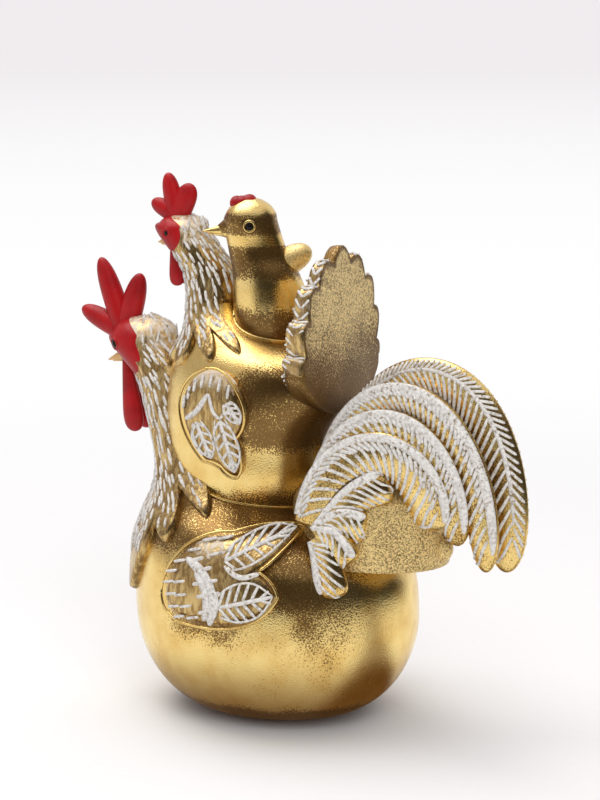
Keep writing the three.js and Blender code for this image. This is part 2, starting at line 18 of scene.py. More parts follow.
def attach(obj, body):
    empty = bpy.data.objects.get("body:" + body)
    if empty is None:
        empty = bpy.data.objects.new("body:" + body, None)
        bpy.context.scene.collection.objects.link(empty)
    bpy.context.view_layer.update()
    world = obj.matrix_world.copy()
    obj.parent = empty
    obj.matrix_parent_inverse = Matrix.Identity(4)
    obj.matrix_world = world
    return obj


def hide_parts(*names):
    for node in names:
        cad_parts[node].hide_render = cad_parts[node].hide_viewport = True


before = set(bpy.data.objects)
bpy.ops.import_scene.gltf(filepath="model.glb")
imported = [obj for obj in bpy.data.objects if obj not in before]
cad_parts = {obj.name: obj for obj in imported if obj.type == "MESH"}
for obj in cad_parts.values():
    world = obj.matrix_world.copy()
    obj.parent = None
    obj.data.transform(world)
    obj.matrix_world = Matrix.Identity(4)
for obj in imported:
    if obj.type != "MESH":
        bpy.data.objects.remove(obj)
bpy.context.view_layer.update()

bl_info = {
    "name": "Chicken Family Figurine",
    "version": (1, 0, 0),
    "blender": (4, 5, 0),
    "location": "View3D > Sidebar > Figurine",
    "description": "Builds the gilded rooster, hen and chick and a studio to show them in",
    "category": "Object",
}

MM = 0.001
SIDES = {"left": -1, "right": 1}
UPRIGHT = Vector((0, 0, 1))
SIDEWAYS = Vector((0, 1, 0))
REARWARD = Vector((1, 0, 0))


def lerp(start, end, share):
    return start + (end - start) * share


def eased(low, high, value):
    share = min(1.0, max(0.0, (value - low) / (high - low)))
    return share * share * (3 - 2 * share)


def through(points, share):
    """A place on a smooth curve through points, with a mirrored point beyond each end."""
    spot = min(1.0, max(0.0, share)) * (len(points) - 1)
    first = min(int(spot), len(points) - 2)
    start, end = points[first], points[first + 1]
    before = points[first - 1] if first > 0 else 2 * start - end
    after = points[first + 2] if first + 2 < len(points) else 2 * end - start
    way = spot - first
    leave, arrive = (end - before) / 2, (after - start) / 2
    cubic = (2 * start - 2 * end + leave + arrive) * way**3
    square = (3 * end - 3 * start - 2 * leave - arrive) * way**2
    return cubic + square + leave * way + start


def bezier(points, share):
    while len(points) > 1:
        points = [lerp(start, end, share) for start, end in zip(points, points[1:])]
    return points[0]


def traced(place):
    """A curve that gives its place and its direction at a share of the way."""

    def at(share):
        step = 1e-3
        behind, ahead = place(max(share - step, 0)), place(min(share + step, 1))
        return place(share), (ahead - behind).normalized()

    return at


def straight(start, end):
    return traced(lambda share: lerp(start, end, share))


def smooth(points):
    """A smooth curve through points, which gives its place at a share of the way."""
    stops = [Vector(point) for point in points]
    return lambda share: through(stops, share)


class Outline:
    """A closed outline in a plane. Places inside are reached by a share from its middle and a turn."""

    def __init__(self, spots):
        self.spots = [Vector(spot) for spot in spots]
        self.middle = sum(self.spots, Vector((0, 0))) / len(self.spots)

    def edge(self, turn):
        place = turn / (2 * math.pi) % 1 * len(self.spots)
        first = int(place) % len(self.spots)
        return lerp(self.spots[first], self.spots[(first + 1) % len(self.spots)], place - int(place))

    def at(self, reach, turn):
        return lerp(self.middle, self.edge(turn), reach)


class BirdForm:
    """A bird's skin through level ovals, each given as height, distance ahead, length and width."""

    arc_steps = 4
    height_steps = 2000

    def __init__(self, foot, belly, rises, head, crown):
        foot, belly, head = Vector(foot), Vector(belly), Vector(head)
        under = []
        over = []
        for step in range(self.arc_steps):
            swing = step / self.arc_steps * math.pi / 2
            oval = lerp(foot, belly, math.sin(swing))
            oval[0] = lerp(foot[0], belly[0], 1 - math.cos(swing))
            under.append(oval)
            height = lerp(head[0], crown, math.sin(swing))
            over.append(Vector((height, head[1], head[2] * math.cos(swing), head[3] * math.cos(swing))))
        self.ovals = under + [belly] + [Vector(rise) for rise in rises] + over
        self.foot = foot
        self.belly = belly
        self.head = head
        self.crown = crown
        self.head_share = 1 - (self.arc_steps - 1) / (len(self.ovals) - 1)
        self.heights = [self.oval(step / self.height_steps)[0] for step in range(self.height_steps + 1)]

    def oval(self, share):
        return through(self.ovals, share)

    def share_at(self, height):
        above = min(max(bisect(self.heights, height), 1), self.height_steps)
        low, high = self.heights[above - 1], self.heights[above]
        way = above - 1 + (height - low) / (high - low)
        return min(1.0, max(0.0, way / self.height_steps))

    def point(self, share, turn, lift=0.0):
        """A place on the skin. A turn of 0 is straight ahead and a quarter turn is the left side."""
        height, ahead, length, width = self.oval(share)
        spot = Vector((-ahead - math.cos(turn) * length / 2, -math.sin(turn) * width / 2, height))
        return spot + self.normal(share, turn) * lift if lift else spot

    def normal(self, share, turn):
        step = 1e-3
        share = min(1 - step, share)
        up = self.point(share + step, turn) - self.point(share - step, turn)
        around = self.point(share, turn + step) - self.point(share, turn - step)
        return around.cross(up).normalized()

    def speed_around(self, share, turn):
        """The length of skin that a small turn sweeps, for each radian."""
        length, width = self.oval(share)[2:]
        return math.hypot(math.sin(turn) * length / 2, math.cos(turn) * width / 2)

    def turn_at(self, share, back):
        ahead, length = self.oval(share)[1:3]
        return math.acos(min(1.0, max(-1.0, -2 * (back + ahead) / length)))

    def back_at(self, ahead):
        """The height of the back in the middle plane, at a distance ahead of the foot."""
        step = 1e-4
        share = self.head_share
        while -self.point(share, math.pi).x > ahead:
            share -= step
        return self.oval(share)[0]

    def holds(self, spot):
        ahead, length, width = self.oval(self.share_at(spot.z))[1:]
        return math.hypot((spot.x + ahead) * 2 / length, spot.y * 2 / width) < 1

    def flank(self, side, spot, lift):
        """A place on the left or right flank: back of the foot and above the belly."""
        share = self.share_at(self.belly[0] + spot[1])
        return self.point(share, -side * self.turn_at(share, spot[0]), lift)


class Cape(NamedTuple):
    """A sleeve of neck feathers whose hem hangs in petals, each with a turn and the height of its tip."""

    proud: float
    thin: float
    taper: float
    petal_half: float
    petal_depth: float
    root: float
    petals: tuple

    def hem(self, form, turn):
        """The height of the hem at a turn from straight ahead."""
        lowest = self.root
        for middle, tip in self.petals:
            middle = math.radians(middle)
            off = abs(abs(turn) - middle) * form.speed_around(form.share_at(tip), middle)
            lowest = min(lowest, tip + self.petal_depth * (off / self.petal_half) ** 1.5)
        return lowest

    def lift(self, above):
        """How far the sleeve stands off the skin, at a height above its hem."""
        return lerp(self.proud, self.thin, eased(0, self.taper, above))


class Comb(NamedTuple):
    """A comb's lobes fan out from one spot. Each lobe has its tip ahead, its tip up and its width."""

    ahead: float
    sink: float
    thickness: float
    lobes: tuple


class Beak(NamedTuple):
    drop: float
    reach: float
    fall: float
    width: float


class Wattle(NamedTuple):
    ahead: float
    apart: float
    drop: float
    swing: float
    width: float
    thickness: float


class Eye(NamedTuple):
    turn: float
    diameter: float


class Brush(NamedTuple):
    """White strokes down a neck: their distances down and around, length, width and lowest place."""

    pitch: float
    apart: float
    length: float
    width: float
    lowest: float


class Bird(NamedTuple):
    name: str
    form: BirdForm
    placement: Matrix
    comb: Comb
    beak: Beak
    eye: Eye
    wattle: Wattle = None
    cape: Cape = None
    face: tuple = ()
    brush: Brush = None


# The felt pad's length, width and thickness
FELT = (38, 33, 1.5)
GLUE_GAP = 0.3
HEN_AHEAD = 14
HEN_SEAT_BEHIND = 10
HEN_SINK = 14
CHICK_BEHIND = 11.5
CHICK_SINK = 6.5
CHICK_TURN = 30
WING_THICKNESS = 3.6
FACE_RISE = 0.9
FACE_MARGIN = 0.1
# How far brushed strokes lie above the relief that carries them
STROKE_GAP = 0.1
# The patina of glitter with some tarnish
TARNISHED_GLITTER = 1.25

ROOSTER_FORM = BirdForm(
    foot=(0, 0, 48, 41),
    belly=(38, 0, 111, 92),
    rises=(
        (58, 1.5, 107, 88),
        (70, 8, 88, 75),
        (79, 17, 64, 57),
        (91, 27.5, 43, 42),
        (107, 38, 32, 31),
        (121, 46, 27, 25),
    ),
    head=(133, 58, 26, 22),
    crown=143,
)
HEN_FORM = BirdForm(
    foot=(0, 0, 32, 28),
    belly=(35, -2, 65, 53),
    rises=(
        (50, -6, 72, 54),
        (62, -7, 69, 50),
        (71, 0, 46, 38),
        (80, 10.5, 23, 24),
        (95, 15.5, 18, 18),
    ),
    head=(109, 26, 19, 18),
    crown=115,
)
CHICK_FORM = BirdForm(
    foot=(0, 0, 14, 13),
    belly=(18.5, 0, 27.5, 25),
    rises=((27, 1.5, 24.5, 23), (35.5, 4.5, 21.5, 17)),
    head=(45.5, 7, 20, 19.4),
    crown=55,
)

ROOSTER_PLACE = Matrix.Translation((0, 0, FELT[2] + GLUE_GAP))
HEN_UP = ROOSTER_FORM.back_at(-HEN_SEAT_BEHIND) - HEN_SINK
HEN_PLACE = ROOSTER_PLACE @ Matrix.Translation((-HEN_AHEAD, 0, HEN_UP))
CHICK_SEAT = Matrix.Translation((CHICK_BEHIND, 0, HEN_FORM.back_at(-CHICK_BEHIND) - CHICK_SINK))
CHICK_PLACE = HEN_PLACE @ CHICK_SEAT @ Matrix.Rotation(math.radians(CHICK_TURN), 4, "Z")

ROOSTER = Bird(
    name="rooster",
    form=ROOSTER_FORM,
    placement=ROOSTER_PLACE,
    comb=Comb(ahead=9, sink=7, thickness=8, lobes=((19.8, 8, 8.5), (11, 28, 9), (-7.5, 23, 9.5))),
    beak=Beak(drop=4, reach=8, fall=4.5, width=7),
    eye=Eye(turn=56, diameter=4.4),
    wattle=Wattle(ahead=6.3, apart=8, drop=29, swing=-4, width=10.5, thickness=6),
    cape=Cape(
        proud=2.6, thin=0.4, taper=55, petal_half=10.5, petal_depth=12, root=98,
        petals=((0, 38), (33, 43), (64, 66), (94, 76)),
    ),
    face=((0, 121.5), (50, 121.7), (86, 125.2), (109, 131), (111, 137), (76, 141.4), (0, 142.7)),
    brush=Brush(pitch=7.6, apart=3.1, length=6.6, width=1.3, lowest=58),
)
HEN = Bird(
    name="hen",
    form=HEN_FORM,
    placement=HEN_PLACE,
    comb=Comb(ahead=3, sink=0.5, thickness=6, lobes=((11, 5, 7), (4, 15.9, 7.5), (-7, 12, 9.5))),
    beak=Beak(drop=3, reach=4.5, fall=2, width=6),
    eye=Eye(turn=80, diameter=3.4),
    wattle=Wattle(ahead=3, apart=6, drop=16, swing=-2, width=7.5, thickness=4),
    cape=Cape(
        proud=1.7, thin=0.4, taper=26, petal_half=7.2, petal_depth=8, root=84,
        petals=((16, 58), (46, 61), (78, 64.5), (106, 68)),
    ),
    face=((0, 101), (52, 101.6), (92, 104.3), (118, 108.4), (117, 112), (75, 114.1), (0, 114.8)),
    brush=Brush(pitch=6.4, apart=2.7, length=5.6, width=1.2, lowest=60),
)
CHICK = Bird(
    name="chick",
    form=CHICK_FORM,
    placement=CHICK_PLACE,
    comb=Comb(ahead=3, sink=3, thickness=7, lobes=((4.5, 2, 5.5), (0, 3.6, 7), (-5, 2.6, 6))),
    beak=Beak(drop=2, reach=8, fall=1, width=6.5),
    eye=Eye(turn=88, diameter=3.8),
)

PROFILES = {
    "finger": lambda share: math.sqrt(1 - share**4),
    "drop": lambda share: (0.3 + 0.75 * share) * math.sqrt(1 - share**8),
    "cone": lambda share: 1.05 - share,
    "plume": lambda share: (0.6 + 0.4 * share) * math.sqrt(1 - share**20),
    "quill": lambda share: (0.55 + 0.45 * share) * math.sqrt(1 - share**24),
    "blunt": lambda share: math.sqrt(1 - share**12),
    "taper": lambda share: (1 - 0.65 * share) * math.sqrt(1 - share**20),
    "rib": lambda share: math.sqrt(1 - (2 * share - 1) ** 6),
    "ball": lambda share: math.sqrt(max(0.0, 1 - (2 * share - 1) ** 2)),
    "even": lambda share: 1.0,
}


class Casting:
    """A mesh that is being modelled, in millimetres."""

    def __init__(self):
        self.mesh = bmesh.new()
        self.part = bpy.data.meshes.new("part")
        self.finishes = []

    def add(self, shape, finish, patina_and_shade=0.0):
        """Joins a shape, which is modelled on its own because operators are slow on a large mesh."""
        if finish not in self.finishes:
            self.finishes.append(finish)
        # Each vertex keeps a patina value; on the bird bodies it also carries painted shade.
        layer = shape.verts.layers.float.new("patina_and_shade")
        for vert in shape.verts:
            vert[layer] = patina_and_shade(vert.co) if callable(patina_and_shade) else patina_and_shade
        for face in shape.faces:
            face.material_index = self.finishes.index(finish)
            face.smooth = True
        shape.to_mesh(self.part)
        shape.free()
        self.mesh.from_mesh(self.part)

    def skin(self, around, rings, place, finish, patina_and_shade):
        """A closed skin: a sphere whose points are moved by their ring and their turn."""
        shape = bmesh.new()
        bmesh.ops.create_uvsphere(shape, u_segments=around, v_segments=rings, radius=1)
        for vert in shape.verts:
            way = math.acos(min(1.0, max(-1.0, -vert.co.z))) / math.pi
            vert.co = place(round(way * rings), math.atan2(vert.co.y, vert.co.x))
        self.add(shape, finish, patina_and_shade)

    def sweep(self, curve, facing, size, profile, shares, finish, around, patina_and_shade=0.0):
        """Ovals at shares of a curve, wide across the facing direction and thick along it."""
        width, thickness = size
        rings = len(shares) - 1
        frames = []
        for ring, share in enumerate(shares):
            spot, along = curve(share)
            across = facing.cross(along).normalized()
            scale = PROFILES[profile](share) / 2 if 0 < ring < rings else 0
            frames.append((spot, across * scale * width, along.cross(across) * scale * thickness))

        def place(ring, turn):
            spot, across, out = frames[ring]
            return spot - across * math.cos(turn) - out * math.sin(turn)

        self.skin(around, rings, place, finish, patina_and_shade)

    def limb(self, curve, facing, size, profile, finish, around, rings, patina_and_shade=0.0):
        """A swept shape with closely spaced ovals at its ends."""
        shares = [(1 - math.cos(math.pi * ring / rings)) / 2 for ring in range(rings + 1)]
        self.sweep(curve, facing, size, profile, shares, finish, around, patina_and_shade)

    def bead(self, curve, facing, diameter, finish, rings):
        """A round bead of one thickness along a curve, with flat ends."""
        shares = [(max(1, min(rings - 1, ring)) - 1) / (rings - 2) for ring in range(rings + 1)]
        self.sweep(curve, facing, (diameter, diameter), "even", shares, finish, around=8)

    def dash(self, spot, along, out, size, finish):
        """One short brush stroke: its length, width and height."""
        length, width, height = size
        across = along.cross(out).normalized()
        stretch = Matrix((across * width / 2, out * height, along * length / 2)).transposed().to_4x4()
        shape = bmesh.new()
        matrix = Matrix.Translation(spot) @ stretch
        bmesh.ops.create_uvsphere(shape, u_segments=6, v_segments=4, radius=1, matrix=matrix)
        self.add(shape, finish)

    def lens(self, around, rings, spot, rise, sink, finish, patina_and_shade=0.0, edge=8):
        """A closed pad on a surface. Its spots are reached by a share from the middle, a turn and a lift."""

        def place(ring, turn):
            reach = math.sin(math.pi * ring / rings)
            if ring < rings / 2:
                return spot(reach, turn, -sink)
            return spot(reach, turn, lerp(-sink, rise, max(0.0, 1 - reach**edge) ** 0.5))

        self.skin(around, rings, place, finish, patina_and_shade)

    def dress(self, name, slot, placement):
        """Carries the mesh to its place, and makes it the piece that stands for the node of its name."""
        bmesh.ops.recalc_face_normals(self.mesh, faces=self.mesh.faces)
        bmesh.ops.transform(self.mesh, matrix=Matrix.Scale(MM, 4) @ placement, verts=self.mesh.verts)
        data = bpy.data.meshes.new(name + "_dressed")
        self.mesh.to_mesh(data)
        self.mesh.free()
        bpy.data.meshes.remove(self.part)
        for finish in self.finishes:
            data.materials.append(material(finish))
        piece = bpy.data.objects.new(name + "_dressed", data)
        bpy.context.scene.collection.objects.link(piece)
        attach(piece, "root")
        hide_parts(name)
        return piece


class Value:
    """A shader socket that takes part in Python expressions."""

    def __init__(self, graph, socket):
        self.graph = graph
        self.socket = socket

    def math(self, operation, first, second):
        return self.graph.node("ShaderNodeMath", {"operation": operation}, {0: first, 1: second})

    def __add__(self, other):
        return self.math("ADD", self, other)

    __radd__ = __add__

    def __sub__(self, other):
        return self.math("SUBTRACT", self, other)

    def __rsub__(self, other):
        return self.math("SUBTRACT", other, self)

    def __mul__(self, other):
        return self.math("MULTIPLY", self, other)

    __rmul__ = __mul__


class Graph:
    """The node tree of one finish."""

    def __init__(self, tree):
        tree.nodes.clear()
        self.tree = tree

    def node(self, kind, settings=None, inputs=None, output=0):
        made = self.tree.nodes.new(kind)
        for name, setting in (settings or {}).items():
            setattr(made, name, setting)
        for name, value in (inputs or {}).items():
            socket = made.inputs[name]
            if isinstance(value, Value):
                self.tree.links.new(value.socket, socket)
            elif socket.type == "RGBA":
                socket.default_value = (*value, 1.0)
            else:
                socket.default_value = value
        return Value(self, made.outputs[output]) if made.outputs else None

    def place(self):
        return self.node("ShaderNodeTexCoord", output="Object")

    def vector(self, operation, first, second, output=0):
        return self.node("ShaderNodeVectorMath", {"operation": operation}, {0: first, 1: second}, output)

    def patina_and_shade(self):
        return self.node("ShaderNodeAttribute", {"attribute_name": "patina_and_shade"}, output="Fac")

    def mix(self, factor, first, second):
        return self.node("ShaderNodeMix", {"data_type": "RGBA"}, {0: factor, 6: first, 7: second}, 2)

    def noise(self, place, scale, detail, roughness=0.5):
        inputs = {"Vector": place, "Scale": scale, "Detail": detail, "Roughness": roughness}
        return self.node("ShaderNodeTexNoise", None, inputs)

    def step(self, value, low, high):
        inputs = {"Value": value, "From Min": low, "From Max": high}
        return self.node("ShaderNodeMapRange", {"interpolation_type": "SMOOTHSTEP"}, inputs)

    def bump(self, height, strength, distance):
        inputs = {"Height": height, "Strength": strength, "Distance": distance}
        return self.node("ShaderNodeBump", None, inputs)

    def surface(self, inputs):
        shader = self.node("ShaderNodeBsdfPrincipled", None, inputs)
        self.node("ShaderNodeOutputMaterial", None, {"Surface": shader})


def gilt(graph, colours):
    """Gold leaf. Patina up to 1 makes it coarse. Below 0 and above 1 it darkens in brown flecks, which on
    the bird bodies are painted shade.
    """
    place = graph.place()
    patina_and_shade = graph.patina_and_shade()
    cloud = graph.noise(place, 90, 3)
    grain = graph.noise(place, 1800, 2, 0.6)
    flakes = graph.step(graph.noise(place, 1700, 2), 0.34, 0.54)
    patches = graph.step(graph.noise(place, 24, 3), 0.49, 0.62)
    worn = graph.step(patina_and_shade, 0.3, 1.0)
    # Brown flecks; on the bird bodies they are painted shade.
    tarnish_and_shade = graph.step(0 - patina_and_shade, 0.0, 1.0) + graph.step(patina_and_shade, 1.0, 2.0)
    flecks = graph.step(grain + 0.3 * cloud + 0.1 * worn + 0.08 * patches + 0.4 * tarnish_and_shade, 0.82, 0.98)
    leaf = graph.mix(graph.step(cloud, 0.3, 0.75), colours.gold, colours.deep_gold)
    glitter = graph.mix(flakes, colours.brown_gold, colours.glitter)
    graph.surface(
        {
            "Base Color": graph.mix(flecks, graph.mix(worn, leaf, glitter), colours.tarnish_and_shade),
            "Metallic": 1 - 0.55 * worn * (1 - tarnish_and_shade) - 0.2 * flecks * (1 - worn),
            "Roughness": 0.14 + 0.08 * cloud + 0.14 * worn + 0.1 * patches,
            "Normal": graph.bump(grain * (0.5 + 1.1 * worn) + 0.3 * cloud, 0.5, 0.0004),
        }
    )


def washed_gilt(graph, colours):
    """Aged gold in streaks. Where its patina is high it is washed with white."""
    place = graph.place()
    streaks = graph.noise(graph.vector("MULTIPLY", place, (1, 1, 0.2)), 650, 3, 0.6)
    cloud = graph.noise(place, 120, 3)
    white = graph.step(streaks + 0.3 * cloud + 0.5 * graph.patina_and_shade(), 0.82, 1.15)
    gold = graph.mix(graph.step(streaks, 0.38, 0.62), colours.aged_gold, colours.brown_gold)
    graph.surface(
        {
            "Base Color": graph.mix(white, gold, colours.wash),
            "Metallic": 0.95 - 0.85 * white,
            "Roughness": 0.26 + 0.3 * white,
            "Normal": graph.bump(streaks, 0.6, 0.0005),
        }
    )


def brushed_white(graph, colours):
    """White paint dragged over the relief, with grey hollows and gold worn through."""
    place = graph.place()
    cloud = graph.noise(place, 160, 3)
    grain = graph.noise(place, 900, 3, 0.6)
    worn = graph.step(grain + 0.35 * cloud, 0.76, 0.92)
    paint = graph.mix(graph.step(grain, 0.35, 0.65), colours.white, colours.grey)
    graph.surface(
        {
            "Base Color": graph.mix(worn, paint, colours.brown_gold),
            "Metallic": 0.8 * worn,
            "Roughness": 0.55 - 0.2 * worn,
            "Normal": graph.bump(grain, 0.5, 0.0004),
        }
    )


def red_enamel(graph, colours):
    place = graph.place()
    cloud = graph.noise(place, 130, 3)
    grain = graph.noise(place, 700, 2)
    graph.surface(
        {
            "Base Color": graph.mix(graph.step(cloud, 0.35, 0.75), colours.red, colours.dark_red),
            "Roughness": 0.3 + 0.14 * cloud,
            "Specular IOR Level": 0.25,
            "Normal": graph.bump(grain + cloud, 0.2, 0.0003),
        }
    )


def ochre_paint(graph, colours):
    cloud = graph.noise(graph.place(), 260, 3)
    graph.surface(
        {
            "Base Color": graph.mix(cloud, colours.ochre, colours.dark_ochre),
            "Roughness": 0.35 + 0.2 * cloud,
            "Normal": graph.bump(cloud, 0.2, 0.0003),
        }
    )


def eye_glass(graph, colours):
    cloud = graph.noise(graph.place(), 500, 2)
    graph.surface(
        {
            "Base Color": graph.mix(cloud, colours.eye, colours.pupil),
            "Roughness": 0.12 + 0.05 * cloud,
            "Specular IOR Level": 0.2,
        }
    )


def felt_cloth(graph, colours):
    place = graph.place()
    fibres = graph.noise(place, 1800, 4, 0.7)
    patches = graph.noise(place, 90, 2)
    dark = tuple(0.45 * channel for channel in colours.felt)
    graph.surface(
        {
            "Base Color": graph.mix(fibres * 0.7 + patches * 0.3, dark, colours.felt),
            "Roughness": 0.95,
            "Normal": graph.bump(fibres, 0.7, 0.0005),
        }
    )


def plug_plastic(graph, colours):
    place = graph.place()
    grain = graph.noise(place, 900, 2)
    cloud = graph.noise(place, 120, 2)
    dull = tuple(0.85 * channel for channel in colours.plug)
    graph.surface(
        {
            "Base Color": graph.mix(cloud, colours.plug, dull),
            "Roughness": 0.5 + 0.15 * cloud,
            "Normal": graph.bump(grain, 0.15, 0.0002),
        }
    )


FINISHES = {
    "gilt": gilt,
    "washed_gilt": washed_gilt,
    "brushed_white": brushed_white,
    "red_enamel": red_enamel,
    "ochre_paint": ochre_paint,
    "eye_glass": eye_glass,
    "felt_cloth": felt_cloth,
    "plug_plastic": plug_plastic,
}


def material(name):
    """The finish of that name, which is made when it is first asked for."""
    full_name = f"figurine_{name}"
    made = bpy.data.materials.get(full_name)
    if made is None:
        made = bpy.data.materials.new(full_name)
        made.use_nodes = True
        FINISHES[name](Graph(made.node_tree), bpy.context.scene.figurine.finishes)
    return made


def body_skin(casting, form, around, rings, patina_and_shade):
    def place(ring, turn):
        if ring == 0:
            return Vector((-form.foot[1], 0, form.foot[0]))
        if ring == rings:
            return Vector((-form.head[1], 0, form.crown))
        return form.point((ring - 1) / (rings - 2), turn)

    casting.skin(around, rings, place, "gilt", patina_and_shade)


def cape_sleeve(casting, form, cape):
    """The neck's sleeve. Its rounded hem starts below the skin, and its top closes over the crown."""
    around, rings = 256, 110
    edge_rings = 7
    edge = 1.8
    sunk = 1.0
    hems = {}

    def place(ring, turn):
        if turn not in hems:
            hems[turn] = cape.hem(form, turn)
        if ring == 0:
            share = form.share_at(cape.root)
            return form.point(share, 0) * 0.5 + form.point(share, math.pi) * 0.5
        if ring == rings:
            return Vector((-form.head[1], 0, form.crown + cape.thin))
        if ring < edge_rings:
            swing = (ring - 1) / (edge_rings - 1) * math.pi / 2
            height = hems[turn] + edge * (1 - math.cos(swing))
            return form.point(form.share_at(height), turn, lerp(-sunk, cape.proud, math.sin(swing)))
        start = form.share_at(hems[turn] + edge)
        share = lerp(start, 1.0, (ring - edge_rings) / (rings - 1 - edge_rings))
        return form.point(share, turn, cape.lift(form.oval(share)[0] - hems[turn] - edge))

    def patina_and_shade(spot):
        """A thin wash, which is thicker on the head."""
        return 0.15 + 0.6 * eased(form.crown - 16, form.crown - 4, spot.z)

    casting.skin(around, rings, place, "washed_gilt", patina_and_shade)


def face_edge(bird, height):
    """The turn where the red face ends at a height."""
    for (low_turn, low), (high_turn, high) in zip(bird.face, bird.face[1:]):
        if low <= height <= high:
            return math.radians(lerp(low_turn, high_turn, (height - low) / (high - low)))
    return 0.0


def face_mask(casting, bird):
    """The red skin of a face, with its outline given by turns from straight ahead and heights."""
    form = bird.form
    around, rings = 96, 36
    highest = 0.995
    mirrored = [(-turn, height) for turn, height in bird.face[-2:0:-1]]
    loop = [Vector(point) for point in (*bird.face, *mirrored)]
    wrapped = [loop[-1], *loop, loop[0], loop[1]]
    spans = len(wrapped) - 1
    ways = [(1 + step / around * len(loop)) / spans for step in range(around)]
    outline = Outline([through(wrapped, way) for way in ways])

    def spot(reach, turn, lift):
        flat = outline.at(reach, turn)
        return form.point(min(form.share_at(flat[1]), highest), math.radians(flat[0]), lift)

    casting.lens(around, rings, spot, rise=FACE_RISE, sink=0.6, finish="red_enamel", edge=10)


def brush_neck(casting, bird, seed):
    """White strokes in staggered rows down the neck, clear of the red face and of the hem."""
    form, cape, brush = bird.form, bird.cape, bird.brush
    shake = random.Random(seed)
    step = 1.5
    thickness = 0.6
    height = form.crown - step
    row = 0
    while height > brush.lowest:
        oval = form.oval(form.share_at(height))
        count = max(1, round(math.pi * (oval[2] + oval[3]) / 2 / brush.apart))
        for stroke in range(count):
            turn = math.tau * (stroke + row % 2 / 2 + shake.uniform(-0.22, 0.22)) / count
            turn = math.remainder(turn, math.tau)
            middle = height + shake.uniform(-0.25, 0.25) * brush.pitch
            length = brush.length * shake.uniform(0.65, 1.15)
            above = middle - cape.hem(form, turn)
            ends = min(middle, form.crown - 0.5), middle - length / 2
            red = any(abs(turn) < face_edge(bird, end) + FACE_MARGIN for end in ends)
            if red or above < length / 2 + 1:
                continue
            share = form.share_at(middle)
            spot = form.point(share, turn, cape.lift(above) + STROKE_GAP)
            below = form.point(form.share_at(middle - step), turn, cape.lift(above - step) + STROKE_GAP)
            along = (below - spot).normalized()
            size = length, brush.width * shake.uniform(0.75, 1.2), thickness
            casting.dash(spot, along, form.normal(share, turn), size, "brushed_white")
        height -= brush.pitch / 2
        row += 1


def eye_spot(bird, side):
    form = bird.form
    share = form.share_at(form.head[0])
    turn = -side * math.radians(bird.eye.turn)
    out = form.normal(share, turn)
    return form.point(share, turn) - out * bird.eye.diameter / 6, out


def eyelids(casting, bird, lid):
    """Rings around the eyes, whose ends overlap a little."""
    overlap = 1.02
    proud = 1.1
    for side in SIDES.values():
        middle, out = eye_spot(bird, side)
        across = UPRIGHT.cross(out).normalized()
        up = out.cross(across)
        radius = bird.eye.diameter * 0.5

        def ring(share):
            turn = overlap * math.tau * share
            return middle + out * proud + (across * math.cos(turn) + up * math.sin(turn)) * radius

        casting.bead(traced(ring), out, bird.eye.diameter * 0.28, lid, rings=30)


def feathered_body(casting, bird, around, rings, patina_and_shade, seed):
    """A body with its neck feathers and its red face."""
    body_skin(casting, bird.form, around, rings, patina_and_shade)
    cape_sleeve(casting, bird.form, bird.cape)
    brush_neck(casting, bird, seed)
    face_mask(casting, bird)
    eyelids(casting, bird, "red_enamel")


def seat_seam(casting, bird, lower, diameter):
    """A bead along the seam where a bird sits in the back of the bird below."""
    form = bird.form
    to_lower = lower.placement.inverted() @ bird.placement
    stops = 48
    halvings = 16
    proud = 0.3
    spots = []
    for step in range(stops + 1):
        turn = math.tau * step / stops
        low, high = 0.0, form.share_at(form.belly[0])
        for halving in range(halvings):
            middle = (low + high) / 2
            if lower.form.holds(to_lower @ form.point(middle, turn)):
                low = middle
            else:
                high = middle
        spots.append(form.point(low, turn, proud))
    casting.bead(traced(smooth(spots)), UPRIGHT, diameter, "gilt", rings=100)


def curved_outline(start, segments):
    """An outline of curves, each given by its control points after the end of the one before."""
    steps = 14
    start = Vector(start)
    spots = []
    for segment in segments:
        controls = [start] + [Vector(control) for control in segment]
        spots += [bezier(controls, step / steps) for step in range(steps)]
        start = controls[-1]
    return Outline(spots)


class Wing:
    """A wing's pad on the flank. Flat places lie back of the foot and above the belly."""

    def __init__(self, casting, form, side, outline):
        self.casting = casting
        self.form = form
        self.side = side
        self.outline = outline

    def on(self, flat, lift):
        return self.form.flank(self.side, flat, lift)

    def out(self, flat):
        return (self.on(flat, 1.0) - self.on(flat, 0.0)).normalized()

    def pad(self, patina_and_shade):
        """The pad and a bead along its rim, whose ends overlap a little."""
        inset = 0.97
        overlap = 1.005

        def spot(reach, turn, lift):
            return self.on(self.outline.at(reach, turn), lift)

        def rim(share):
            flat = self.outline.at(inset, overlap * math.tau * share)
            return self.on(flat, WING_THICKNESS - 0.25)

        self.casting.lens(112, 24, spot, rise=WING_THICKNESS, sink=1.5, finish="washed_gilt", patina_and_shade=patina_and_shade)
        self.casting.bead(traced(rim), self.out(self.outline.middle), 1.1, "gilt", rings=120)

    def stroke(self, points, width, height=0.7):
        """A white brush stroke through flat places."""
        flats = smooth(points)
        curve = traced(lambda share: self.on(flats(share), WING_THICKNESS))
        rings = 4 + 2 * len(points)
        size = width, 2 * height
        self.casting.limb(curve, self.out(flats(0.5)), size, "rib", "brushed_white", around=6, rings=rings)

    def feather(self, root, tip, half, pairs, width=1.2):
        """A carved feather: a midrib and slanting barbs."""
        root, tip = Vector(root), Vector(tip)
        along = tip - root
        across = Vector((-along.y, along.x)).normalized()

        def edge(way, side):
            reach = half * math.sin(math.pi * min(1.0, way * 0.9 + 0.1)) ** 0.6
            return root + along * way + across * side * reach

        for side in (-1, 1):
            for pair in range(pairs):
                way = (pair + 0.15) / pairs * 0.9
                end = edge(min(1.0, way + 0.17), side)
                self.stroke([root + along * way, end], width)
            self.stroke([edge(way, side) for way in (0, 0.25, 0.5, 0.75, 1)], 0.9, 0.6)
        self.stroke([root, lerp(root, tip, 0.5), tip], 1.7, 0.9)


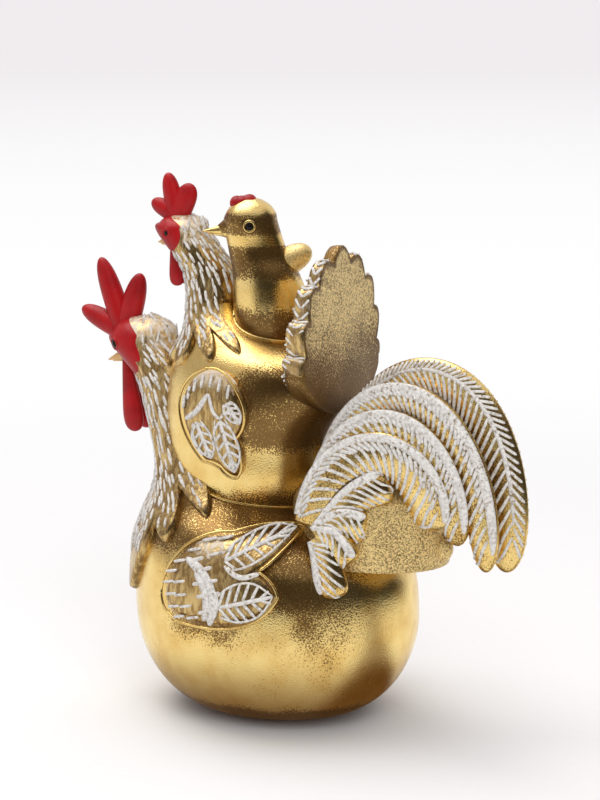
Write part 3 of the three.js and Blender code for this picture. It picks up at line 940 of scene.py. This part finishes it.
ROOSTER_WING = curved_outline(
    (-22, 12),
    (
        ((-21, 24), (-11, 35), (3, 34)),
        ((14, 38), (24, 35)),
        ((23, 27), (17, 23)),
        ((24, 20), (25, 15)),
        ((20, 4), (9, 2), (-4, 2)),
        ((-16, 2), (-22, 5), (-22, 12)),
    ),
)
HEN_WING = curved_outline(
    (2, 28),
    (
        ((-5, 27), (-11, 21), (-10.5, 13)),
        ((-10, 6), (-5, -1), (0, -6)),
        ((4, -6), (7, -8)),
        ((10, -12), (13, -11)),
        ((16, -7), (14, -1), (13, 4)),
        ((18, 9), (18, 15), (16, 19)),
        ((13, 25), (8, 29), (2, 28)),
    ),
)


def carve_rooster_wing(wing):
    wing.pad(lambda spot: 0.1 + 0.6 * eased(62, 70, spot.z) * eased(8, -2, spot.x))
    wing.feather((4, 25), (21.5, 34.5), 5.0, 6)
    wing.feather((4, 10.5), (23, 15.8), 6.4, 6)
    wing.stroke(((4.5, 24), (11, 21), (17.5, 22.4)), 2.2)
    wing.stroke(((-11, 25), (-4, 21.8), (0.5, 17), (2.2, 11), (1, 3.6)), 4.2, 0.9)
    wing.stroke(((-6, 21.5), (-1.6, 16.5), (-0.2, 10.5), (-1.2, 5)), 3.6, 0.8)
    wing.stroke(((-1, 18.5), (3.2, 13.5), (2.8, 6.5)), 2.6, 0.9)
    for back, up in ((-7, 24.5), (-3, 22), (0, 18.5), (1.5, 14.5), (-4.5, 17.5), (-2.5, 13.5), (-1.5, 8)):
        wing.stroke(((back - 2, up - 0.4), (back + 3.2, up + 1.2)), 1.6, 0.9)
    fronts = ((-16.5, 20), (-17.5, 16.2), (-16, 12.2), (-12.5, 17), (-11.5, 12.6), (-9, 9), (-14.5, 8))
    others = ((-12, 4.8), (-6, 5.4), (-8.5, 27.5), (-4, 31), (0.5, 27), (-13.5, 23.6), (1.5, 31.8))
    for back, up in fronts + others:
        wing.stroke(((back - 2.6, up - 0.5), (back + 2.6, up + 0.8)), 1.15)


def carve_hen_wing(wing):
    wing.pad(lambda spot: 0.15 + 0.75 * eased(53, 61, spot.z))
    wing.feather((-1.5, 9), (4, -4.2), 3.6, 4, 1.0)
    wing.feather((8, 11), (12, -8.8), 3.8, 5)
    wing.feather((10.5, 17), (15.2, 10), 2.6, 4, 1.0)
    wing.stroke(((-6.5, 9), (-1, 13), (3.5, 19.5)), 2.2, 0.9)
    wing.stroke(((3.5, 19.5), (5.5, 13.5), (8, 11)), 1.4, 0.9)
    wing.stroke(((-1.5, 9), (-3.5, 3), (0.5, -3.5)), 1.3)
    wing.stroke(((8, 11), (10.5, 13.5), (13.8, 13)), 1.3)
    tops = ((-7.5, 15), (-5.4, 18.5), (-2.8, 21.5), (0.3, 23.2), (4, 23.8), (7.5, 22.6), (11, 20.6))
    for back, up in tops:
        wing.stroke(((back - 0.2, up - 2.4), (back + 0.4, up + 2.4)), 1.1)


class Plume:
    """A feather that is an oval swept along a curve, with places on its two faces."""

    last = 0.985

    def __init__(self, casting, place, facing, width, thickness):
        self.casting = casting
        self.curve = traced(place)
        self.facing = facing
        self.width = width
        self.thickness = thickness
        steps = 40
        stops = [place(step / steps) for step in range(steps + 1)]
        self.length = sum((end - start).length for start, end in zip(stops, stops[1:]))

    def on(self, share, across, side, lift):
        """A place at a share of the way and a share of the half width, on the face of one side."""
        share = min(self.last, max(0.0, share))
        spot, along = self.curve(share)
        sideways = self.facing.cross(along).normalized()
        out = along.cross(sideways)
        size = PROFILES["plume"](share) / 2
        rise = math.sqrt(max(0.0, 1 - across**2)) * size * self.thickness + lift
        return spot + sideways * (across * size * self.width) + out * (side * rise)

    def cast(self, rings):
        """The bare plume, in leaf with some tarnished flecks."""
        size = self.width, self.thickness
        self.casting.limb(self.curve, self.facing, size, "plume", "gilt", 28, rings, patina_and_shade=-0.4)

    def quill(self, side, across, width, last=0.97):
        """A white quill that widens towards the tip."""
        shaft = traced(lambda share: self.on(lerp(0.02, last, share), across, side, STROKE_GAP))
        size = width, width * 0.55
        self.casting.limb(shaft, self.facing * side, size, "quill", "brushed_white", around=10, rings=56)

    def barbs(self, side, start, end, pitch, width, lean=(0.35, 0.85), last=0.96):
        """White barbs across a face, which lean towards the tip more and more."""
        reach = abs(end - start) * self.width / 2 / self.length
        count = round(self.length * last / pitch)
        for barb in range(count):
            way = last * (barb + 0.3) / count
            slant = lerp(*lean, way) * reach

            def place(share):
                return self.on(way + slant * share, lerp(start, end, share), side, STROKE_GAP)

            size = width, 1.2
            out = self.facing * side
            self.casting.limb(traced(place), out, size, "rib", "brushed_white", around=5, rings=5)


class Sickle(NamedTuple):
    """A long plume: its root and tip, its lift above the tail's root, its width and its barbs' pitch."""

    root_up: float
    lift: float
    reach: float
    tip_up: float
    root_side: float
    tip_side: float
    width: float
    pitch: float


class Saddle(NamedTuple):
    """A short plume: its tip, and the share of its half width where its quill lies."""

    reach: float
    tip_up: float
    tip_side: float
    quill: float


class RoosterTail(NamedTuple):
    """The rooster's tail, measured from its root on the back behind the foot."""

    behind: float = 28
    core: tuple = (12, 60, 48, 17, 12)
    blades: tuple = ((40, 6, 20), (45.5, -5, 14))
    blade_width: float = 8
    plume: tuple = (14, 8)
    sickles: tuple = (
        Sickle(14, 66, 62, -10, 13, 7, 14, 3.3),
        Sickle(10, 53, 52, -1, 19, 9.8, 14, 3.6),
        Sickle(4, 39.5, 43.5, 4, 24, 12, 21, 3.8),
    )
    crest: tuple = (16, 67, 66.4, -11, 20)
    saddles: tuple = (
        Saddle(28.5, 20.5, 16, -0.75),
        Saddle(22, 4, 22, -0.75),
        Saddle(17, -9, 26, -0.75),
        Saddle(13, -21, 29, 0.6),
    )
    saddle_root: tuple = (5, 27)
    saddle_bow: float = 3.5


def rooster_tail(casting, tail):
    root = Vector((tail.behind, 0, ROOSTER_FORM.back_at(-tail.behind)))

    def bowed(start, end, lift, rise, shoulder, swell):
        """A bow from start to end, lifted above the tail's root."""
        first = lerp(start, end, rise)
        first.z = root.z + lift
        second = lerp(start, end, shoulder)
        second.z = root.z + lift + swell
        return lambda share: bezier([start, first, second, end], share)

    back, length, depth, rise, fall = tail.core
    middle = straight(root + Vector((back, 0, -fall)), root + Vector((back, 0, rise)))
    casting.limb(middle, SIDEWAYS, (length, depth), "blunt", "gilt", 64, 32, TARNISHED_GLITTER)
    for reach, up, height in tail.blades:
        blade = straight(root + Vector((0, 0, up)), root + Vector((reach, 0, up)))
        casting.limb(blade, UPRIGHT, (tail.blade_width, height), "blunt", "gilt", 40, 32, TARNISHED_GLITTER)

    root_up, lift, reach, tip_up, width = tail.crest
    ends = root + Vector((0, 0, root_up)), root + Vector((reach, 0, tip_up))
    bow = bowed(*ends, lift, rise=0.12, shoulder=1.06, swell=13)
    crest = Plume(casting, bow, SIDEWAYS, width, tail.plume[1])
    crest.cast(72)
    for side in SIDES.values():
        crest.quill(side, -0.5, 2.0, 0.93)
        crest.barbs(side, -0.5, 0.95, 3.2, 1.4)
        crest.barbs(side, -0.5, -0.95, 2.3, 1.2, (0.9, 0.9))
        for sickle in tail.sickles:
            start = root + Vector((0, side * sickle.root_side, sickle.root_up))
            end = root + Vector((sickle.reach, side * sickle.tip_side, sickle.tip_up))
            place = bowed(start, end, sickle.lift, rise=0.12, shoulder=0.97, swell=0)
            plume = Plume(casting, place, SIDEWAYS, sickle.width, tail.plume[1])
            plume.cast(64)
            plume.quill(side, -0.76, 4.4)
            plume.barbs(side, -0.6, -0.2, sickle.pitch / 1.6, 1.5, (1.1, 1.1), 0.88)
            plume.barbs(side, -0.5, 0.97, sickle.pitch, 1.4)
        for saddle in tail.saddles:
            start = root + Vector((tail.saddle_root[0], side * tail.saddle_root[1], 0))
            end = root + Vector((saddle.reach, side * saddle.tip_side, saddle.tip_up))
            middle = lerp(start, end, 0.5) + Vector((0, 0, tail.saddle_bow))
            plume = Plume(casting, smooth((start, middle, end)), SIDEWAYS, *tail.plume)
            plume.cast(20)
            plume.quill(side, saddle.quill, 4.0, 0.93)
            edge = -math.copysign(0.96, saddle.quill)
            plume.barbs(side, saddle.quill, edge, 2.9, 1.1, (0.7, 0.9), 0.85)


class HenTail(NamedTuple):
    """The hen's fan. Its lengths go from upright to the side, and base spots close its outline below."""

    behind: float = 39
    root: float = 42
    lean: float = 12
    lengths: tuple = (66, 62, 56, 47, 38, 30)
    outmost: float = 50
    notch: float = 4.2
    base: tuple = ((27, 18), (20, 11), (10, 6))
    rears: tuple = (4.5, 3)
    fronts: tuple = (9, 3)
    strip: tuple = (10, 3.5)

    def rim(self, lean):
        """The length of the fan at a lean in degrees."""
        length = through(self.lengths, abs(lean) / self.lean / (len(self.lengths) - 1))
        return length - self.notch * (1 - abs(math.cos(math.pi * lean / self.lean)))

    def front(self, length):
        """How far the front face lies ahead of the feathers' middles, at a distance from the root."""
        return lerp(*self.fronts, eased(15, 60, length))

    def rear(self, length):
        return lerp(*self.rears, eased(15, 40, length))

    def at(self, lean, length, ahead):
        angle = math.radians(lean)
        flat = Vector((0, math.sin(angle), math.cos(angle))) * length
        return Vector((self.behind - ahead, 0, self.root)) + flat


def hen_tail(casting, tail):
    steps = 50
    leans = [lerp(-tail.outmost, tail.outmost, step / steps) for step in range(steps + 1)]
    tips = [tail.at(lean, tail.rim(lean), 0) for lean in leans]
    rims = [(tip.y, tip.z - tail.root) for tip in tips]
    rights = list(tail.base)
    lefts = [(-aside, up) for aside, up in reversed(tail.base)]
    outline = Outline(rims + rights + [(0, 5)] + lefts)

    def spot(reach, turn, lift):
        flat = outline.at(reach, turn)
        depth = lerp(-tail.rear(flat.length), tail.front(flat.length), (lift + 1) / 2)
        return Vector((tail.behind - depth, flat[0], tail.root + flat[1]))

    def patina_and_shade(spot):
        """Coarse leaf with brown flecks, which grow denser along the rim and towards the root."""
        flat = Vector((spot.y, spot.z - tail.root))
        lean = math.degrees(math.atan2(flat.x, flat.y))
        rim = 0.45 * eased(2.6, 0.6, tail.rim(lean) - flat.length)
        root = 0.55 * eased(46, 8, flat.y)
        return 1.2 + max(rim, root)

    casting.lens(len(outline.spots) * 3, 36, spot, rise=1.0, sink=1.0, finish="gilt", patina_and_shade=patina_and_shade, edge=40)

    def line(start, end, width):
        """A white stroke on the front, between two places given by lean and length."""
        stops = start, lerp(start, end, 0.5), end
        places = [tail.at(*stop, tail.front(stop[1]) * 0.98) for stop in stops]
        curve = traced(smooth(places))
        casting.limb(curve, REARWARD, (width, 1.3), "rib", "brushed_white", around=6, rings=8)

    outer, barbs = 4, 6
    for step in range(-outer, outer + 1):
        lean = step * tail.lean
        tip = tail.rim(lean) - 4
        line(Vector((lean, 18)), Vector((lean, tip)), 1.6)
        for barb in range(barbs):
            length = lerp(tip * 0.45, tip, (barb + 0.3) / barbs)
            for side in (-1, 1):
                line(Vector((lean, length)), Vector((lean + side * 4.6, length + 3)), 1.1)
    for side in SIDES.values():
        out = (tail.at(side * 30, 1, 0) - tail.at(0, 0, 0)).normalized()

        def strip(share, across):
            """A place on the side wall, between its rear and its front edge."""
            lean = side * lerp(tail.outmost, 6, share)
            half = lerp(*tail.strip, share) / 2
            return tail.at(lean, tail.rim(lean) - 0.3, half - tail.rears[1] + half * across)

        band = traced(lambda share: strip(share, 0))
        size = tail.strip[0], 2.2
        casting.limb(band, out, size, "taper", "washed_gilt", around=20, rings=40, patina_and_shade=0.3)
        pairs = 17
        for pair in range(pairs):
            low = pair / (pairs + 1)
            for across in (-0.9, 0.9):
                curve = straight(strip(low, 0) + out, strip(low + 0.05, across) + out * 0.6)
                casting.limb(curve, out, (1.2, 1.0), "rib", "brushed_white", around=6, rings=5)


def colour(name, description, default):
    return FloatVectorProperty(name=name, description=description, subtype="COLOR", default=default)


class FigurineFinishes(bpy.types.PropertyGroup):
    """Colours of the figurine's finishes."""

    gold: colour("Gold", "Bright gold leaf", (0.93, 0.69, 0.27))
    deep_gold: colour("Deep gold", "Cloudy, redder parts of the leaf", (0.82, 0.54, 0.17))
    glitter: colour("Glitter", "Coarse, worn leaf", (0.98, 0.74, 0.32))
    aged_gold: colour("Aged gold", "Gold between the feathers", (0.66, 0.47, 0.2))
    brown_gold: colour("Brown gold", "Hollows between the feathers", (0.33, 0.2, 0.07))
    # On the bird bodies these brown flecks are painted shade.
    tarnish_and_shade: colour("Tarnish", "Brown flecks in the leaf", (0.205, 0.112, 0.032))
    wash: colour("Wash", "Thin white over the gold", (0.72, 0.63, 0.5))
    white: colour("White", "Paint brushed over the relief", (0.79, 0.765, 0.725))
    grey: colour("Grey", "Thin places in the white paint", (0.57, 0.545, 0.51))
    red: colour("Red", "Enamel of combs and faces", (0.4, 0.008, 0.01))
    dark_red: colour("Dark red", "Thick places in the enamel", (0.27, 0.006, 0.008))
    ochre: colour("Ochre", "Beak paint", (0.8, 0.5, 0.2))
    dark_ochre: colour("Dark ochre", "Cloudy places in the beak paint", (0.62, 0.34, 0.11))
    eye: colour("Eyes", "Glass of the eyes", (0.012, 0.009, 0.007))
    pupil: colour("Pupils", "Darkest places in the glass", (0.004, 0.003, 0.002))
    felt: colour("Felt", "Pad under the foot", (0.04, 0.09, 0.055))
    plug: colour("Plug", "Plug of the pour hole", (0.7, 0.65, 0.53))


class FigurineRelief(bpy.types.PropertyGroup):
    """Sizes of the relief."""

    seam_bead: FloatProperty(
        name="Seam bead", description="Diameter of the bead where a bird sits", unit="LENGTH", default=0.0014
    )


class FigurineStudio(bpy.types.PropertyGroup):
    """The camera and the light."""

    azimuth: FloatProperty(
        name="Azimuth", description="Camera's turn to the right of the birds' left side", subtype="ANGLE",
        default=math.radians(30),
    )
    elevation: FloatProperty(
        name="Elevation", description="Camera's height as an angle", subtype="ANGLE",
        default=math.radians(11),
    )
    distance: FloatProperty(name="Distance", description="Camera to target", unit="LENGTH", default=0.9)
    target: FloatVectorProperty(
        name="Target", description="Spot in the middle of the picture", subtype="TRANSLATION", unit="LENGTH",
        default=(-0.00345, 0.02346, 0.1134),
    )
    lens: FloatProperty(name="Lens", description="Focal length in millimetres", default=106.6)
    softbox: FloatProperty(name="Softbox", description="Power of the softbox above, in watts", default=9.0)
    fill: FloatProperty(name="Fill", description="Power of the lamp by the camera, in watts", default=6.5)
    backdrop: colour("Backdrop", "White background near the birds", (1.0, 1.0, 1.0))
    far_backdrop: colour("Far backdrop", "Pale grey background far away", (0.87, 0.84, 0.86))
    foot_shade: colour("Foot shade", "Warm shade that the birds mirror at the foot", (0.14, 0.075, 0.03))
    floor: colour("Floor", "Pale floor under the birds", (0.84, 0.835, 0.83))


class Figurine(bpy.types.PropertyGroup):
    """All settings of the figurine."""

    finishes: PointerProperty(type=FigurineFinishes)
    relief: PointerProperty(type=FigurineRelief)
    studio: PointerProperty(type=FigurineStudio)


def rooster_painted_shade(spot):
    """Brown flecks of painted shade at the foot, under the wings, below the tail, on the rear flanks and
    around the hen's seat.
    """
    foot = eased(13, 3, spot.z)
    wing = 0.6 * eased(26, 40, spot.z) * eased(-32, -16, spot.x) * eased(22, 4, spot.x)
    tail = 0.6 * eased(20, 44, spot.z) * eased(20, 34, spot.x) * eased(54, 44, spot.x)
    flank = 0.85 * eased(40, 52, spot.z) * eased(8, 20, spot.x) * eased(46, 36, spot.x)
    seat = 0.8 * eased(58, 68, spot.z)
    return -max(foot, wing, tail, flank, seat)


class FIGURINE_OT_rooster_body(bpy.types.Operator):
    """Rooster's body with its neck feathers and red face"""

    bl_idname = "figurine.rooster_body"
    bl_label = "Rooster Body"

    def execute(self, context):
        casting = Casting()
        feathered_body(casting, ROOSTER, around=112, rings=150, patina_and_shade=rooster_painted_shade, seed=11)
        casting.dress("rooster_body", "gilt_resin", ROOSTER.placement)
        return {"FINISHED"}


def hen_painted_shade(spot):
    """Brown flecks of painted shade on the rear flanks and at the seat."""
    flanks = eased(2, 22, spot.x) * eased(26, 40, spot.z) * eased(72, 58, spot.z)
    seat = 0.7 * eased(25, 13, spot.z)
    return -max(flanks, seat)


class FIGURINE_OT_hen_body(bpy.types.Operator):
    """Hen's body with its neck feathers and red face"""

    bl_idname = "figurine.hen_body"
    bl_label = "Hen Body"

    def execute(self, context):
        casting = Casting()
        feathered_body(casting, HEN, around=96, rings=130, patina_and_shade=hen_painted_shade, seed=12)
        seat_seam(casting, HEN, ROOSTER, context.scene.figurine.relief.seam_bead / MM)
        casting.dress("hen_body", "gilt_resin", HEN.placement)
        return {"FINISHED"}


def chick_painted_shade(spot):
    """Brown flecks of painted shade in a band around the eyes, in a band on the breast and at the seat."""
    eyes = 0.85 * eased(40, 43, spot.z) * eased(51, 48.5, spot.z)
    breast = 0.85 * eased(22, 28, spot.z) * eased(39.5, 36.5, spot.z)
    seat = 0.85 * eased(21, 10, spot.z)
    return -max(eyes, breast, seat)


class FIGURINE_OT_chick_body(bpy.types.Operator):
    """Chick's plain gold body and its stub of a tail"""

    bl_idname = "figurine.chick_body"
    bl_label = "Chick Body"

    def execute(self, context):
        casting = Casting()
        body_skin(casting, CHICK.form, around=80, rings=80, patina_and_shade=chick_painted_shade)
        stub = straight(Vector((0, 0, 28)), Vector((15, 0, 36)))
        casting.limb(stub, SIDEWAYS, (11, 11), "finger", "gilt", around=32, rings=24, patina_and_shade=0.7)
        head = Vector((-CHICK.form.head[1], 0, CHICK.form.head[0] - 1))
        cheeks = straight(head, head + Vector((-13.5, 0, -1.5)))
        casting.limb(cheeks, SIDEWAYS, (20, 17), "cone", "gilt", around=40, rings=24, patina_and_shade=chick_painted_shade)
        eyelids(casting, CHICK, "gilt")
        seat_seam(casting, CHICK, HEN, context.scene.figurine.relief.seam_bead / MM)
        casting.dress("chick_body", "gilt_resin", CHICK.placement)
        return {"FINISHED"}


class FIGURINE_OT_wings(bpy.types.Operator):
    """Carved wings of the rooster and the hen"""

    bl_idname = "figurine.wings"
    bl_label = "Wings"

    def execute(self, context):
        wings = (ROOSTER, ROOSTER_WING, carve_rooster_wing), (HEN, HEN_WING, carve_hen_wing)
        for bird, outline, carve in wings:
            for word, side in SIDES.items():
                casting = Casting()
                carve(Wing(casting, bird.form, side, outline))
                casting.dress(f"{bird.name}_wing_{word}", "gilt_resin", bird.placement)
        return {"FINISHED"}


class FIGURINE_OT_rooster_tail(bpy.types.Operator):
    """Rooster's tail of bowed plumes"""

    bl_idname = "figurine.rooster_tail"
    bl_label = "Rooster Tail"

    def execute(self, context):
        casting = Casting()
        rooster_tail(casting, RoosterTail())
        casting.dress("rooster_tail", "gilt_resin", ROOSTER.placement)
        return {"FINISHED"}


class FIGURINE_OT_hen_tail(bpy.types.Operator):
    """Hen's upright fan of tail feathers"""

    bl_idname = "figurine.hen_tail"
    bl_label = "Hen Tail"

    def execute(self, context):
        casting = Casting()
        hen_tail(casting, HenTail())
        casting.dress("hen_tail", "gilt_resin", HEN.placement)
        return {"FINISHED"}


class FIGURINE_OT_combs(bpy.types.Operator):
    """Red combs and the chick's crest"""

    bl_idname = "figurine.combs"
    bl_label = "Combs"

    def execute(self, context):
        for bird in (ROOSTER, HEN, CHICK):
            comb, form = bird.comb, bird.form
            casting = Casting()
            foot = Vector((-form.head[1] - comb.ahead, 0, form.crown - comb.sink))
            for ahead, up, width in comb.lobes:
                lobe = straight(foot, foot + Vector((-ahead, 0, up)))
                size = width, comb.thickness
                casting.limb(lobe, SIDEWAYS, size, "finger", "red_enamel", around=28, rings=28)
            name = "chick_crest" if bird is CHICK else f"{bird.name}_comb"
            casting.dress(name, "red_enamel", bird.placement)
        return {"FINISHED"}


class FIGURINE_OT_beaks(bpy.types.Operator):
    """Beaks, each with its lower bill"""

    bl_idname = "figurine.beaks"
    bl_label = "Beaks"

    def execute(self, context):
        for bird in (ROOSTER, HEN, CHICK):
            beak, form = bird.beak, bird.form
            paint, slot = ("gilt", "gilt_resin") if bird is CHICK else ("ochre_paint", "ochre_paint")
            casting = Casting()
            face = form.point(form.share_at(form.head[0] - beak.drop), 0)
            root = face + Vector((beak.width * 0.6, 0, 0))
            tip = face + Vector((-beak.reach, 0, -beak.fall))
            low_root = root + Vector((0, 0, -beak.width * 0.22))
            low_tip = lerp(low_root, tip, 0.82) + Vector((0, 0, -beak.width * 0.12))
            bills = (root, tip, beak.width, 24, 18), (low_root, low_tip, beak.width * 0.72, 20, 14)
            for start, end, size, around, rings in bills:
                casting.limb(straight(start, end), SIDEWAYS, (size, size), "cone", paint, around, rings)
            casting.dress(f"{bird.name}_beak", slot, bird.placement)
        return {"FINISHED"}


class FIGURINE_OT_wattles(bpy.types.Operator):
    """Red wattles under the chins of the rooster and the hen"""

    bl_idname = "figurine.wattles"
    bl_label = "Wattles"

    def execute(self, context):
        for bird in (ROOSTER, HEN):
            wattle, head = bird.wattle, bird.form.head
            for word, side in SIDES.items():
                casting = Casting()
                root = Vector((-head[1] - wattle.ahead, side * wattle.apart / 2, head[0] - head[3] / 4))
                tip = root + Vector((-wattle.swing, 0, -wattle.drop))
                size = wattle.width, wattle.thickness
                drop = straight(root, tip)
                casting.limb(drop, SIDEWAYS, size, "drop", "red_enamel", around=28, rings=28)
                casting.dress(f"{bird.name}_wattle_{word}", "red_enamel", bird.placement)
        return {"FINISHED"}


class FIGURINE_OT_eyes(bpy.types.Operator):
    """Glass eyes"""

    bl_idname = "figurine.eyes"
    bl_label = "Eyes"

    def execute(self, context):
        for bird in (ROOSTER, HEN, CHICK):
            size = bird.eye.diameter
            for word, side in SIDES.items():
                casting = Casting()
                middle, out = eye_spot(bird, side)
                ball = straight(middle - out * size / 2, middle + out * size / 2)
                across = UPRIGHT.cross(out).normalized()
                casting.limb(ball, across, (size, size), "ball", "eye_glass", around=24, rings=16)
                casting.dress(f"{bird.name}_eye_{word}", "eye_glass", bird.placement)
        return {"FINISHED"}


class FIGURINE_OT_foot(bpy.types.Operator):
    """Felt pad under the rooster, and the finish of the plug above it"""

    bl_idname = "figurine.foot"
    bl_label = "Foot"

    def execute(self, context):
        length, width, thickness = FELT
        shape = bmesh.new()
        bmesh.ops.create_circle(shape, cap_ends=True, segments=96, radius=0.5)
        raised = bmesh.ops.extrude_face_region(shape, geom=shape.faces[:])["geom"]
        corners = [item for item in raised if isinstance(item, bmesh.types.BMVert)]
        bmesh.ops.translate(shape, verts=corners, vec=(0, 0, thickness))
        bmesh.ops.scale(shape, verts=shape.verts, vec=(length, width, 1))
        edges = [edge for edge in shape.edges if edge.calc_face_angle(0) > 1]
        bmesh.ops.bevel(shape, geom=edges, offset=0.3, affect="EDGES", segments=3, profile=0.5, material=-1)
        casting = Casting()
        casting.add(shape, "felt_cloth")
        pad = casting.dress("felt_pad", "felt", Matrix.Identity(4))
        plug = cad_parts["base_plug"]
        plug.data.materials.clear()
        plug.data.materials.append(material("plug_plastic"))
        return {"FINISHED"}


class FIGURINE_OT_studio(bpy.types.Operator):
    """Pale floor, soft light and the camera"""

    bl_idname = "figurine.studio"
    bl_label = "Studio"

    def execute(self, context):
        studio = context.scene.figurine.studio
        context.scene.view_settings.view_transform = "Standard"
        near = Vector((math.sin(studio.azimuth), -math.cos(studio.azimuth), 0))
        right = Vector((math.cos(studio.azimuth), math.sin(studio.azimuth), 0))
        self.add_camera(context, studio, near)
        room = 0.8 * near + 0.6 * right
        lane = 0.5 * near + 0.87 * right
        self.add_floor(context, studio, room, lane)
        self.light_world(context, studio, room, right)
        above = -0.35 * right - 0.25 * near + 1.2 * UPRIGHT
        self.add_lamp(context, "softbox", above, size=1.0, power=studio.softbox)
        beside_camera = 0.95 * near + 0.2 * right + 0.65 * UPRIGHT
        fill = self.add_lamp(context, "fill", beside_camera, size=0.8, power=studio.fill)
        fill.visible_glossy = False
        return {"FINISHED"}

    def add_camera(self, context, studio, near):
        away = near * math.cos(studio.elevation) + UPRIGHT * math.sin(studio.elevation)
        data = bpy.data.cameras.new("camera")
        data.lens = studio.lens
        camera = bpy.data.objects.new("camera", data)
        camera.location = Vector(studio.target) + away * studio.distance
        camera.rotation_euler = away.to_track_quat("Z", "Y").to_euler()
        context.scene.collection.objects.link(camera)
        context.scene.camera = camera

    def add_lamp(self, context, name, spot, size, power):
        """A square lamp that points at the birds' middle."""
        middle = Vector((0, 0, 0.1))
        data = bpy.data.lights.new(name, "AREA")
        data.size = size
        data.energy = power
        lamp = bpy.data.objects.new(name, data)
        lamp.location = spot
        lamp.rotation_euler = (spot - middle).to_track_quat("Z", "Y").to_euler()
        context.scene.collection.objects.link(lamp)
        return lamp

    def add_floor(self, context, studio, room, lane):
        """A pale floor that turns white far away. The birds mirror painted shade on it: a warm dark foot, a
        dark lane and a dark far end.
        """
        mesh = bmesh.new()
        bmesh.ops.create_circle(mesh, cap_ends=True, segments=96, radius=14)
        data = bpy.data.meshes.new("floor")
        mesh.to_mesh(data)
        mesh.free()
        floor = bpy.data.objects.new("floor", data)
        context.scene.collection.objects.link(floor)
        paint = bpy.data.materials.new("floor_paper")
        paint.use_nodes = True
        graph = Graph(paint.node_tree)
        place = graph.place()
        spread = graph.vector("LENGTH", place, (0, 0, 0), "Value")
        seen = graph.node("ShaderNodeLightPath", output="Is Camera Ray")
        mirrored = graph.node("ShaderNodeLightPath", output="Is Glossy Ray")
        grain = graph.noise(place, 300, 3)
        shade = tuple(0.97 * channel for channel in studio.floor)
        colour = graph.mix(grain, studio.floor, shade)
        paper = graph.node("ShaderNodeBsdfDiffuse", None, {"Color": colour})
        white = graph.mix(graph.step(spread, 0.9, 5.0), studio.backdrop, studio.far_backdrop)
        ahead = graph.vector("DOT_PRODUCT", place, room, "Value")
        # Painted shade for reflections: the far end goes dark towards the room.
        end = graph.step(spread, 0.32, 0.55) * graph.step(ahead, 0.05, 0.2)
        # Painted shade for reflections: a warm dark patch at the foot and a dark lane beside it.
        foot = 1 - graph.step(spread, 0.02, 0.1)
        along = graph.vector("DOT_PRODUCT", place, lane, "Value")
        aside = graph.vector("DOT_PRODUCT", place, UPRIGHT.cross(lane), "Value")
        strip = graph.step(along, 0.02, 0.07) * (1 - graph.step(aside * aside, 0.00002, 0.0012))
        lit = graph.mix(mirrored * (foot + 0.75 * strip), white, studio.foot_shade)
        glow = graph.node("ShaderNodeEmission", None, {"Color": lit, "Strength": 1 - 0.95 * mirrored * end})
        far = graph.step(spread, 0.15, 0.7) * seen + mirrored
        mixed = graph.node("ShaderNodeMixShader", None, {0: far, 1: paper, 2: glow})
        graph.node("ShaderNodeOutputMaterial", None, {"Surface": mixed})
        data.materials.append(paint)

    def light_world(self, context, studio, room, right):
        """White where the camera looks. The birds mirror a dark room in front, below a pale ceiling."""
        world = bpy.data.worlds.new("studio")
        world.use_nodes = True
        context.scene.world = world
        graph = Graph(world.node_tree)
        toward = graph.node("ShaderNodeTexCoord", output="Generated")
        ahead = graph.vector("DOT_PRODUCT", toward, room, "Value")
        leftward = graph.vector("DOT_PRODUCT", toward, -right, "Value")
        height = graph.node("ShaderNodeSeparateXYZ", None, {0: toward}, "Z")
        below = 1 - graph.step(height, 0.6, 0.8)
        dim = graph.step(ahead, 0.1, 0.35) * below
        level = (0.92 - 0.35 * graph.step(leftward, 0.3, 0.9) * below) * (1 - 0.955 * dim)
        seen = graph.node("ShaderNodeLightPath", output="Is Camera Ray")
        strength = level + seen * (1 - level)
        glow = graph.node(
            "ShaderNodeBackground", None, {"Color": studio.far_backdrop, "Strength": strength}
        )
        graph.node("ShaderNodeOutputWorld", None, {"Surface": glow})


STEPS = (
    FIGURINE_OT_rooster_body,
    FIGURINE_OT_hen_body,
    FIGURINE_OT_chick_body,
    FIGURINE_OT_wings,
    FIGURINE_OT_rooster_tail,
    FIGURINE_OT_hen_tail,
    FIGURINE_OT_combs,
    FIGURINE_OT_beaks,
    FIGURINE_OT_wattles,
    FIGURINE_OT_eyes,
    FIGURINE_OT_foot,
    FIGURINE_OT_studio,
)


class VIEW3D_PT_figurine(bpy.types.Panel):
    """Lists the figurine's settings and the steps that build it"""

    bl_label = "Figurine"
    bl_space_type = "VIEW_3D"
    bl_region_type = "UI"
    bl_category = "Figurine"

    def draw(self, context):
        figurine = context.scene.figurine
        for group in (figurine.finishes, figurine.relief, figurine.studio):
            column = self.layout.column()
            for name in group.__annotations__:
                column.prop(group, name)
        for step in STEPS:
            self.layout.operator(step.bl_idname)


CLASSES = (FigurineFinishes, FigurineRelief, FigurineStudio, Figurine, *STEPS, VIEW3D_PT_figurine)


def register():
    for made in CLASSES:
        bpy.utils.register_class(made)
    bpy.types.Scene.figurine = PointerProperty(type=Figurine)


def unregister():
    del bpy.types.Scene.figurine
    for made in reversed(CLASSES):
        bpy.utils.unregister_class(made)


def main():
    register()
    for step in STEPS:
        getattr(bpy.ops.figurine, step.bl_idname.split(".")[1])()


if __name__ == "__main__":
    main()
